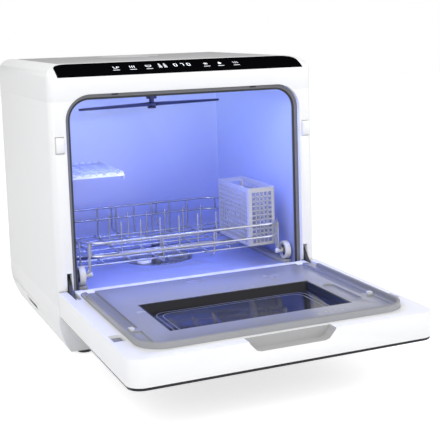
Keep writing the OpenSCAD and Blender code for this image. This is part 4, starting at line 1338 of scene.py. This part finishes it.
@dataclass
class SprayArm:
    """A hollow spray arm with a crowned blade and its nozzles."""

    node: str
    body: str
    length: float
    half_width: float
    low: float
    high: float
    hub_r: float
    bore_r: float
    hub_low: float
    hub_high: float
    turn: float = 0.0
    upward: bool = True
    middle_y: float = 173.0
    steps: int = 22
    chords: int = 20
    taper: float = 0.62
    fall: float = 0.35
    tip_from: float = 0.93

    def build(self) -> None:
        """Builds the arm, which replaces its CAD node, and its nozzles."""
        form = Form()
        for side in (1, -1):
            form.loft(self._blade(side))
        inner, outer = self.bore_r, self.hub_r
        form.lathe([(inner, self.hub_low), (outer, self.hub_low), (outer + 1.5, self.low + 1),
                    (outer + 1.5, self.high - 1), (outer, self.hub_high - 0.6), (outer - 1, self.hub_high),
                    (inner, self.hub_high)], (0.0, self.middle_y, 0.0), Axis.Z, 40)
        # The arm's dark navy is painted shade and painted blue light.
        form.finish(f"{self.node}_piece", ARM_PAINTED_BLUE_SHADE, self.body, (self.node,))
        points = []
        for side in (1, -1):
            for i in range(6):
                x = side * (self.length * (0.25 + 0.12 * i))
                drop = (self.high - self.low) * self.fall * abs(x) / self.length
                z = self.high - drop - 0.05 if self.upward else self.low + 0.05
                points.append(self._turned(x, side * (1.5 if i % 2 else -1.5), z))
        STUDS.grow(seed_points(points), f"{self.node}_nozzles", MID, self.body,
                   {"Radius": 0.0024, "Height": 0.0007, "Sides": 14})

    def _turned(self, x: float, y: float, z: float) -> Point:
        """Returns a point of the arm turned to its rest angle."""
        return (*rotated([(x, y)], self.turn, 0.0, self.middle_y)[0], z)

    def _blade(self, side: int) -> list[list[Point]]:
        """Returns the rings of one blade, from the hub to its round tip.

        Args:
            side: 1 for the blade along +x and -1 for the other.

        Returns:
            The rings of points.
        """
        rings = []
        for i in range(self.steps + 1):
            x = self.bore_r + 1.2 + (self.length - self.bore_r - 1.4) * i / self.steps
            share = x / self.length
            wide = self.half_width * (1 - self.taper * share ** 2)
            if share >= self.tip_from:
                wide *= math.sqrt(max(0.05, 1 - ((share - self.tip_from) / 0.075) ** 2))
            high = self.high - (self.high - self.low) * self.fall * share
            middle, half = (self.low + high) / 2, (high - self.low) / 2
            ring = []
            for k in range(self.chords):
                a = 2 * math.pi * k / self.chords
                up = math.copysign(abs(math.sin(a)) ** 0.55, math.sin(a))
                ring.append(self._turned(side * x, side * wide * math.cos(a), middle + half * up))
            rings.append(ring)
        return rings


# ---- door ----

@dataclass
class Door:
    """The drop-down door, drawn open, with its seal ridge, tracks, scoop and window."""

    face_z: float = 108.0
    half_width: float = 209.0
    front: float = -345.0
    rim: float = 21.0
    near: float = 0.3
    ridge_half: float = 184.5
    ridge_z: float = 116.0
    ridge_r: float = 36.5
    ridge_far: float = -320.5
    ridge_ends: float = -62.0
    window_half: float = 130.0
    window_y: tuple[float, float] = (-261.0, -125.0)
    window_z: float = 99.0
    scoop_half: float = 61.0
    scoop_back: float = -328.0
    scoop_deep: float = 14.5
    stop_at: Flat = (172.5, -234.0)
    stop_half: Flat = (3.4, 4.5)
    hollow: tuple[float, ...] = (134.5, -251.5, 153.5, -158.5)
    catch_at: Flat = (196.0, -251.0)
    catch_half: Flat = (7.3, 13.3)

    def build(self) -> None:
        """Builds every piece of the door."""
        # The finger scoop's faces are painted grey: painted shade in the recess of the white shell.
        Casting("door_shell", WHITE, 0.7, 2.4, self._outer_rim, SCOOP_PAINTED_SHADE, self._in_scoop_shade,
                body="door").make()
        Casting("door_liner", LINER_PALE, 0.5, second=RIDGE_GREY, second_where=self._on_ridge,
                body="door").make()
        Casting("door_glass", DOOR_BLACK, 0.8, body="door").make()
        Casting("hinge_pins", STEEL, 0.2, body="door").make()
        self._window()
        self._seal()
        self._dispenser()

    def _outer_rim(self, p: Vector) -> bool:
        """Tells if a point lies on the door's upper outer edge, clear of the scoop's sides."""
        outer = abs(p.x) > self.half_width - self.near or p.y < self.front + self.rim
        clear = (abs(p.x) > self.scoop_half + 5 or p.y < self.front + self.near
                 or p.y > self.scoop_back + 1)
        return p.z > self.face_z - self.near and outer and clear

    def _in_scoop_shade(self, p: Vector) -> bool:
        """Tells if a point lies inside the finger scoop, whose faces are painted grey as painted shade."""
        return (abs(p.x) < self.scoop_half and self.front + 0.2 < p.y < self.scoop_back + 0.5
                and self.face_z - self.scoop_deep < p.z < self.face_z - self.near)

    def _on_ridge(self, p: Vector) -> bool:
        """Tells if a point lies on the seal ridge."""
        return p.z > self.face_z + 2.4

    def _window(self) -> None:
        """Builds the sunk dark window with its printed border lines."""
        Casting("door_window", DOOR_BLACK, 0.4, body="door").make()
        x, (y0, y1), z = self.window_half, self.window_y, self.window_z
        lines = Form()
        for inset in (17.0, 24.0):
            path = [(u, v, z + 0.1) for u, v in rounded(inset - x, y0 + inset, x - inset, y1 - inset, 16.0)]
            lines.sweep(path, box(-0.7, -0.04, 0.7, 0.04), closed=True)
        lines.finish("door_window_lines", PRINT, "door")

    def _ridge_path(self, inset: float, z: float) -> list[Point]:
        """Returns the open path of the seal along the ridge.

        Args:
            inset: How far inside the ridge's outer face it runs.
            z: Its height.

        Returns:
            The points from the left hinge end round the front to the right hinge end.
        """
        x, r, far = self.ridge_half - inset, self.ridge_r - inset, self.ridge_far + inset
        flat = ([(-x, self.ridge_ends)] + arc(r - x, far + r, r, 180, 270, 14)
                + arc(x - r, far + r, r, 270, 360, 14) + [(x, self.ridge_ends)])
        return [(u, v, z) for u, v in flat]

    def _seal(self) -> None:
        """Builds the sealing lip in the top of the ridge, the rack's stops and the latch catches."""
        lip = Form()
        view = [(1.1, -0.9), (1.1, -0.1), (0.7, 0.25), (-0.7, 0.25), (-1.1, -0.1), (-1.1, -0.9)]
        lip.sweep(self._ridge_path(3.6, self.ridge_z), view)
        lip.finish("door_seal_lip", SEAL_GREY, "door")
        top = self.face_z
        for name, finish, (x, y), (wide, long), r, low, high, edge in (
                ("rack_stops", WHEEL_WHITE, self.stop_at, self.stop_half, 1.6, top + 0.2, top + 5.2, 0.5),
                ("latch_catches", MID, self.catch_at, self.catch_half, 2.0, top - 5.2, top - 3.8, 0.4)):
            pair = Form()
            for middle in (-x, x):
                pair.prism(rounded(middle - wide, y - long, middle + wide, y + long, r), low, high)
            pair.finish(name, finish, "door", edge=edge)

    def _dispenser(self) -> None:
        """Builds the rim of the small detergent hollow beside the window."""
        rim = Form()
        path = [(u, v, self.face_z + 2.15) for u, v in rounded(*self.hollow, 8.6)]
        rim.sweep(path, [(-0.9, -0.5), (0.9, -0.5), (0.6, 0.35), (-0.6, 0.35)], closed=True)
        rim.finish("detergent_hollow_rim", LINER_PALE, "door")


# ---- rack ----

@dataclass
class Rack:
    """The roll-out wire rack, drawn pushed home."""

    half: float = 165.0
    y0: float = 12.0
    y1: float = 302.0
    r: float = 40.0
    rail_in: float = 1.6
    low_rail: float = 150.0
    high_rail: float = 170.0
    base: float = 131.0
    axle_z: float = 122.3
    axle_y: tuple[float, ...] = (27.0, 146.0, 265.0)
    rail_r: float = 1.9
    wire_r: float = 1.4
    side_x: float = 161.5
    floor_y: tuple[float, float] = (53.6, 260.4)
    floor_n: int = 7
    uprights: tuple[int, int] = (2, 4)
    guard: tuple[float, float, float] = (108.0, 258.0, 296.0)
    guard_low: float = 238.0
    tine_x: float = -86.0
    tine_step: float = 32.0
    tine_n: int = 6
    tine_top: float = 184.6
    leg_half: float = 4.2
    leg_x: float = 160.0
    clip_x: Flat = (172.9, 175.4)

    def build(self) -> None:
        """Builds the rack's wires, axles and clips."""
        inset = self.rail_in
        path = rounded(inset - self.half, self.y0 + inset, self.half - inset, self.y1 - inset,
                       self.r - inset, 10)
        loops = [[(u, v, z) for u, v in path] for z in (self.low_rail, self.high_rail)]
        WIRES.grow(seed_lines(loops, closed=True), "rack_rails", WIRE_WHITE, "rack",
                   {"Bend": 0.0, "Sides": RAIL_SIDES, "Radius": self.rail_r * MM},
                   ("rack_front", "rack_back", "rack_left_side", "rack_right_side"))
        for name, lines, bend, nodes in (
                ("rack_long_wires", self._long_wires(), 5.0, ("rack_base",)),
                ("rack_cross_wires", self._cross_wires(), 5.0, ()),
                ("rack_corner_posts", self._posts(), 0.0, ()),
                ("cup_guard_wires", self._guard_wires(), 6.0, ()),
                ("plate_tines_wires", self._tines(), 6.0, ("plate_tines",)),
                ("rack_leg_wires", self._legs(), 4.0, ())):
            WIRES.grow(seed_lines(lines), name, WIRE_WHITE, "rack",
                       {"Bend": bend * MM, "Sides": WIRE_SIDES, "Radius": self.wire_r * MM}, nodes)
        self._axles()

    @staticmethod
    def _span(low: float, high: float, count: int) -> list[float]:
        """Returns evenly spaced places, both ends included."""
        return [low + (high - low) * i / (count - 1) for i in range(count)]

    def _long_wires(self) -> list[list[Point]]:
        """Returns the floor's wires from front to back; two turn up to the rails at both ends."""
        f, b, top = self.y0 + 4.4, self.y1 - 4.4, self.high_rail + 0.4
        across = self._span(self.r - self.half, self.half - self.r, self.floor_n)
        tall = [[(across[i], y, z) for y, z in ((f, top), (f, self.base), (b, self.base), (b, top))]
                for i in self.uprights]
        return tall + [[(x, y, self.base) for y in self.floor_y]
                       for i, x in enumerate(across) if i not in self.uprights]

    def _cross_wires(self) -> list[list[Point]]:
        """Returns the wires from side to side, which turn up to one rail or the other."""
        x, z = self.side_x, self.base - 2.6
        lines = []
        for i, y in enumerate(self._span(*self.floor_y, self.floor_n)):
            top = self.low_rail if i % 2 else self.high_rail
            lines.append([(-x, y, top), (-x, y, z), (x, y, z), (x, y, top)])
        return lines

    def _posts(self) -> list[list[Point]]:
        """Returns the short posts that tie the rails at the four rounded corners."""
        inset = (self.r - self.rail_in) * (1 - math.sqrt(0.5)) + self.rail_in
        return [[(x, y, z) for z in (self.low_rail, self.high_rail)]
                for x in (inset - self.half, self.half - inset) for y in (self.y0 + inset, self.y1 - inset)]

    def _guard_wires(self) -> list[list[Point]]:
        """Returns the raised left side that stops the cups."""
        x, (y0, y1, top) = self.rail_in - self.half, self.guard
        arch = [(x, y0, self.low_rail), (x, y0, top), (x, y1, top), (x, y1, self.low_rail)]
        middle = (y0 + y1) / 2
        return [arch, [(x, middle, self.low_rail), (x, middle, top)],
                [(x, y0, self.guard_low), (x, y1, self.guard_low)]]

    def _tines(self) -> list[list[Point]]:
        """Returns the rows of tines, each on its base wire."""
        z = self.base + 3.2
        last = self.tine_x + self.tine_step * (self.tine_n - 1)
        lines = []
        for y in self._span(*self.floor_y, self.floor_n)[1::2]:
            lines.append([(self.tine_x - 4.0, y, z), (last + 4.0, y, z)])
            for i in range(self.tine_n):
                x = self.tine_x + self.tine_step * i
                lines.append([(x, y, z), (x, y, self.tine_top)])
        return lines

    def _rail_x(self, y: float) -> float:
        """Returns how far out the rails run at a depth near the front."""
        r = self.r - self.rail_in
        d = min(max(0.0, self.y0 + self.r - y, y - self.y1 + self.r), r)
        return min(self.side_x - 0.4, self.half - self.r + math.sqrt(r ** 2 - d * d))

    def _legs(self) -> list[list[Point]]:
        """Returns the pairs of wires that go down from the rails to the axles."""
        lines = []
        for y in self.axle_y:
            for side in (-1, 1):
                x = side * self._rail_x(y)
                for dy in (-self.leg_half, self.leg_half):
                    lines.append([(x, y + dy, self.high_rail), (x, y + dy, self.axle_z + 6.0),
                                  (side * self.leg_x, y + dy * 0.4, self.axle_z + 1.2)])
        return lines

    def _axles(self) -> None:
        """Builds the axles with their shoulders and the clips outside the wheels."""
        form = Form()
        near, far = self.clip_x
        for y in self.axle_y:
            x = self._rail_x(y)
            for side in (-1, 1):
                for r, start, end in ((2.48, x - 2.4, far), (3.8, x - 3.0, 163.1), (4.0, near, far)):
                    low, high = sorted((side * start, side * end))
                    form.prism(arc(y, self.axle_z, r, 0, 345, 23), low, high, Axis.X)
        form.finish("rack_axles", WHEEL_WHITE, "rack", ("rack_legs",), edge=0.35)


@dataclass
class Wheel:
    """A wheel of the rack: a ribbed tyre, a dark dish with spokes and a hub."""

    node: str
    side: int
    y: float
    x: float = 168.0
    z: float = 122.3
    r: float = 14.5
    width: float = 9.0
    bore: float = 2.6
    spokes: int = 5

    def build(self) -> None:
        """Builds the wheel, which replaces its CAD node."""
        form = Form()
        s, h, r, bore = self.side, self.side * self.width / 2, self.r, self.bore
        center = (s * self.x, self.y, self.z)
        form.lathe([(10.2, -h), (r - 0.6, -h), (r - 0.05, s - h), (r - 0.05, h - s), (r - 0.6, h),
                    (11.6, h), (10.4, h - s)], center, Axis.X, 72, ribs=0.45)
        form.coat = 1
        form.lathe(box(bore + 1.6, -0.9 * s, 10.8, 0.9 * s), center, Axis.X, 36)
        low, high = sorted((center[0] + 0.6 * s, center[0] + h - 1.2 * s))
        for i in range(self.spokes):
            spoke = rotated(box(3.6, -0.7, 10.6, 0.7), 360 * i / self.spokes, self.y, self.z)
            form.prism(spoke, low, high, Axis.X)
        form.coat = 2
        form.lathe([(bore, -h), (4.8, -h), (4.8, h - 0.5 * s), (4.3, h), (bore, h)], center, Axis.X, 36)
        form.finish(f"{self.node}_piece", (WHEEL_WHITE, DARK, MID), self.node, (self.node,))


@dataclass
class RackFittings:
    """The folding cup shelf and the cutlery basket."""

    shelf_top: float = 257.0
    wall: float = 2.0
    column: float = 7.0
    band: float = 7.0
    foot: float = 4.0
    rows: int = 11
    bar: float = 1.5
    row: float = 1.9
    front_bars: int = 5
    side_bars: int = 13
    floor_bars: int = 16
    tooth: Flat = (4.6, 3.6)
    edge_teeth: int = 12
    end_teeth: int = 7
    bare: float = 11.5

    def build(self) -> None:
        """Builds the shelf and the basket."""
        Casting("cup_shelf", WHITE, 0.5, body="cup_shelf").make()
        (x0, y0, _), (x1, y1, _) = drawn_box("cup_shelf")
        teeth = Form()
        for y in self._places(y0, y1, self.edge_teeth):
            teeth.prism(self._scallop(y), x1 - 2.3, x1 - 0.3, Axis.X)
        for y in (y0 + 1.2, y1 - 1.2):
            for x in self._places(x0 + self.bare, x1, self.end_teeth):
                teeth.prism(self._scallop(x), y - 1.0, y + 1.0, Axis.Y)
        teeth.finish("cup_shelf_teeth", WHITE, "cup_shelf", edge=0.3)
        self._basket()

    @staticmethod
    def _places(low: float, high: float, count: int) -> list[float]:
        """Returns the middles of count equal parts of a stretch."""
        return [low + (high - low) * (i + 0.5) / count for i in range(count)]

    def _scallop(self, middle: float) -> list[Flat]:
        """Returns the outline of a rounded tooth of the shelf's edge, with its middle at a place."""
        wide, high = self.tooth
        return [(middle + wide * math.cos(a), self.shelf_top + (high * math.sin(a) - 0.1))
                for a in [math.pi * k / 8 for k in range(9)]]

    def _basket(self) -> None:
        """Builds the basket: bands and corner columns with rows of thin bars between them."""
        (x0, y0, z0), (x1, y1, z1) = drawn_box("cutlery_basket")
        t, column, band, foot = self.wall, self.column, self.band, self.foot
        shell = Form()
        path = rounded(x0 + t / 2, y0 + t / 2, x1 - t / 2, y1 - t / 2, 3.0)
        for low, high in ((z0, z0 + foot), (z1 - band, z1)):
            half = (high - low) / 2
            shell.sweep([(u, v, low + half) for u, v in path], box(-t / 2, -half, t / 2, half), closed=True)
        for x, to_x in ((x0, 1), (x1, -1)):
            for y, to_y in ((y0, 1), (y1, -1)):
                view = ([(0.0, column)] + arc(4.0, 4.0, 4.0, 180, 270, 5) + [(column, 0.0), (column, t)]
                        + arc(4.0, 4.0, 4.0 - t, 270, 180, 5) + [(t, column)])
                shell.prism([(x + to_x * u, y + to_y * v) for u, v in view], z0 + foot / 2, z1 - band / 2)
        shell.finish("cutlery_basket_frame", BASKET_PAINTED_SHADE_GREY, "cutlery_basket", ("cutlery_basket",))
        low, high = z0 + foot, z1 - band
        rise = (high - low) / self.rows
        walls = (("front", "X", (y0 + t / 2, y1 - t / 2), x0 + column, x1 - column, self.front_bars),
                 ("side", "Y", (x0 + t / 2, x1 - t / 2), y0 + column, y1 - column, self.side_bars))
        for name, along, faces, start, end, columns in walls:
            across = "Y" if along == "X" else "X"
            step = (end - start) / columns
            rows = {"Count": self.rows - 1, "Step Z": rise * MM, f"Size {along}": (end - start) * MM,
                    f"Size {across}": self.bar * MM, "Size Z": self.row * MM}
            bars = {"Count": columns - 1, f"Step {along}": step * MM, f"Size {along}": self.row * MM,
                    f"Size {across}": self.bar * MM, "Size Z": (high - low) * MM}
            for word, place, z, sizes in (("rows", (start + end) / 2, low + rise, rows),
                                          ("bars", start + step, (low + high) / 2, bars)):
                spots = [(place, face, z) if along == "X" else (face, place, z) for face in faces]
                BARS.grow(seed_points(spots), f"basket_{name}_{word}", BASKET_PAINTED_SHADE_GREY, "cutlery_basket", sizes)
        step = (y1 - y0) / self.floor_bars
        BARS.grow(seed_points([((x0 + x1) / 2, y0 + step, z0 + 0.8)]), "basket_floor_bars", BASKET_PAINTED_SHADE_GREY,
                  "cutlery_basket", {"Count": self.floor_bars - 1, "Step Y": step * MM,
                                     "Size X": (x1 - x0 - 2 * t) * MM, "Size Y": 3.0 * MM,
                                     "Size Z": self.bar * MM})


# ---- stage ----

@dataclass(frozen=True)
class Lamp:
    """A soft lamp: its place and sides in millimetres and its power in watts."""

    name: str
    place: Point
    sides: Flat
    power: float
    color: Color = (1.0, 1.0, 1.0)
    aimed: bool = True


LAMPS = (
    Lamp("key", (-1300.0, -1500.0, 1500.0), (1500.0, 1500.0), 29.0),
    Lamp("fill", (1500.0, -1300.0, 900.0), (1500.0, 1500.0), 17.0),
    Lamp("bar", (0.0, 29.0, 380.0), (180.0, 12.0), 1.0, (0.12, 0.2, 1.0), aimed=False),
    Lamp("over", (0.0, 100.0, 2000.0), (1600.0, 1600.0), 4.5),
)


@dataclass
class Stage:
    """The pale floor, the backdrop, the lamps and the camera."""

    camera_at: Point = (-528.96, -1436.0, 490.28)
    yaw: float = 0.4321
    pitch: float = -0.1259
    roll: float = -0.0251
    focal: float = 1020.68
    axis_px: Flat = (270.0, 150.0)
    frame_px: float = 440.0
    sensor: float = 36.0
    floor_half: float = 6.0
    floor_tone: float = 0.82
    floor_roughness: float = 0.6
    floor_gloss: float = 0.1
    floor_lift: float = 0.7
    aim: Point = (0.0, 60.0, 200.0)
    sky: float = 0.46

    def build(self) -> None:
        """Builds the stage."""
        bpy.context.scene.view_settings.view_transform = "Standard"
        self._floor()
        self._world()
        for lamp in LAMPS:
            self._lamp(lamp)
        self._camera()

    def _lamp(self, lamp: Lamp) -> None:
        """Adds a lamp, which looks at the object if it is aimed and straight down if not."""
        light = bpy.data.lights.new(lamp.name, "AREA")
        light.shape = "RECTANGLE"
        light.size, light.size_y = (side * MM for side in lamp.sides)
        light.color = lamp.color
        light.energy = lamp.power
        obj = linked(lamp.name, light)
        obj.location = at(*lamp.place)
        if lamp.aimed:
            obj.rotation_euler = (at(*self.aim) - obj.location).to_track_quat("-Z", "Y").to_euler()

    @staticmethod
    def _seen(tree: bpy.types.NodeTree) -> bpy.types.NodeSocket:
        """Returns a value of 1 for rays that come from the camera, a reflection or clear plastic.

        Args:
            tree: The tree that the nodes go in.

        Returns:
            The socket with the value.
        """
        path = tree.nodes.new("ShaderNodeLightPath")
        value = path.outputs["Is Camera Ray"]
        for name in ("Is Glossy Ray", "Is Transmission Ray"):
            either = tree.nodes.new("ShaderNodeMath")
            either.operation = "MAXIMUM"
            tree.links.new(value, either.inputs[0])
            tree.links.new(path.outputs[name], either.inputs[1])
            value = either.outputs[0]
        return value

    def _floor(self) -> None:
        """Builds the pale floor, which keeps the object's shadow."""
        form, half = bmesh.new(), self.floor_half
        form.faces.new([form.verts.new((x, y, 0.0)) for x, y in box(-half, -half, half, half)])
        mesh = bpy.data.meshes.new("floor")
        form.to_mesh(mesh)
        form.free()
        made = bpy.data.materials.new("pale_floor")
        made.use_nodes = True
        tree = made.node_tree
        shader = tree.nodes["Principled BSDF"]
        shader.inputs["Base Color"].default_value = (*[self.floor_tone] * 3, 1.0)
        shader.inputs["Roughness"].default_value = self.floor_roughness
        shader.inputs["Specular IOR Level"].default_value = self.floor_gloss
        lift = tree.nodes.new("ShaderNodeMath")
        lift.operation = "MULTIPLY"
        lift.inputs[1].default_value = self.floor_lift
        tree.links.new(self._seen(tree), lift.inputs[0])
        shader.inputs["Emission Color"].default_value = PURE_WHITE
        tree.links.new(lift.outputs[0], shader.inputs["Emission Strength"])
        mesh.materials.append(made)
        floor = linked("floor", mesh)

    def _world(self) -> None:
        """Sets a white background for what is seen and a soft sky for what is lit."""
        world = bpy.data.worlds.new("studio")
        bpy.context.scene.world = world
        world.use_nodes = True
        tree = world.node_tree
        back = tree.nodes["Background"]
        back.inputs["Color"].default_value = PURE_WHITE
        level = tree.nodes.new("ShaderNodeMapRange")
        level.inputs["To Min"].default_value = self.sky
        level.inputs["To Max"].default_value = 1.0
        tree.links.new(self._seen(tree), level.inputs["Value"])
        tree.links.new(level.outputs["Result"], back.inputs["Strength"])

    def _camera(self) -> None:
        """Places the camera."""
        data = bpy.data.cameras.new("camera")
        data.sensor_width = self.sensor
        data.lens = self.focal / self.frame_px * self.sensor
        data.shift_x = 0.5 - self.axis_px[0] / self.frame_px
        data.shift_y = self.axis_px[1] / self.frame_px - 0.5
        cy, sy = math.cos(self.yaw), math.sin(self.yaw)
        cp, sp = math.cos(self.pitch), math.sin(self.pitch)
        ahead = Vector((sy * cp, cy * cp, sp))
        right = Vector((cy, -sy, 0.0))
        up = right.cross(ahead)
        cr, sr = math.cos(self.roll), math.sin(self.roll)
        right, up = cr * right + sr * up, cr * up - sr * right
        obj = linked("camera", data)
        turn = Matrix((right, up, -ahead)).transposed().to_4x4()
        obj.matrix_world = Matrix.Translation(at(*self.camera_at)) @ turn
        bpy.context.scene.camera = obj


def main() -> None:
    """Builds the stage and every sub-assembly."""
    logging.basicConfig(level=logging.INFO, format="%(message)s")
    Stage().build()
    Casing().build()
    TouchStrip().build()
    Tub().build()
    SprayArm("lower_spray_arm", "lower_arm", length=138.0, half_width=16.5, low=112.0, high=119.0,
             hub_r=9.5, bore_r=7.1, hub_low=112.0, hub_high=124.0).build()
    SprayArm("upper_spray_arm", "upper_arm", length=130.0, half_width=11.5, low=356.0, high=362.0,
             hub_r=9.0, bore_r=4.1, hub_low=356.0, hub_high=362.0, turn=10.0, upward=False).build()
    Door().build()
    rack = Rack()
    rack.build()
    for side, word in ((-1, "left"), (1, "right")):
        for y, place in zip(rack.axle_y, ("front", "middle", "rear")):
            Wheel(f"wheel_{word}_{place}", side, y).build()
    RackFittings().build()


if __name__ == "__main__":
    main()
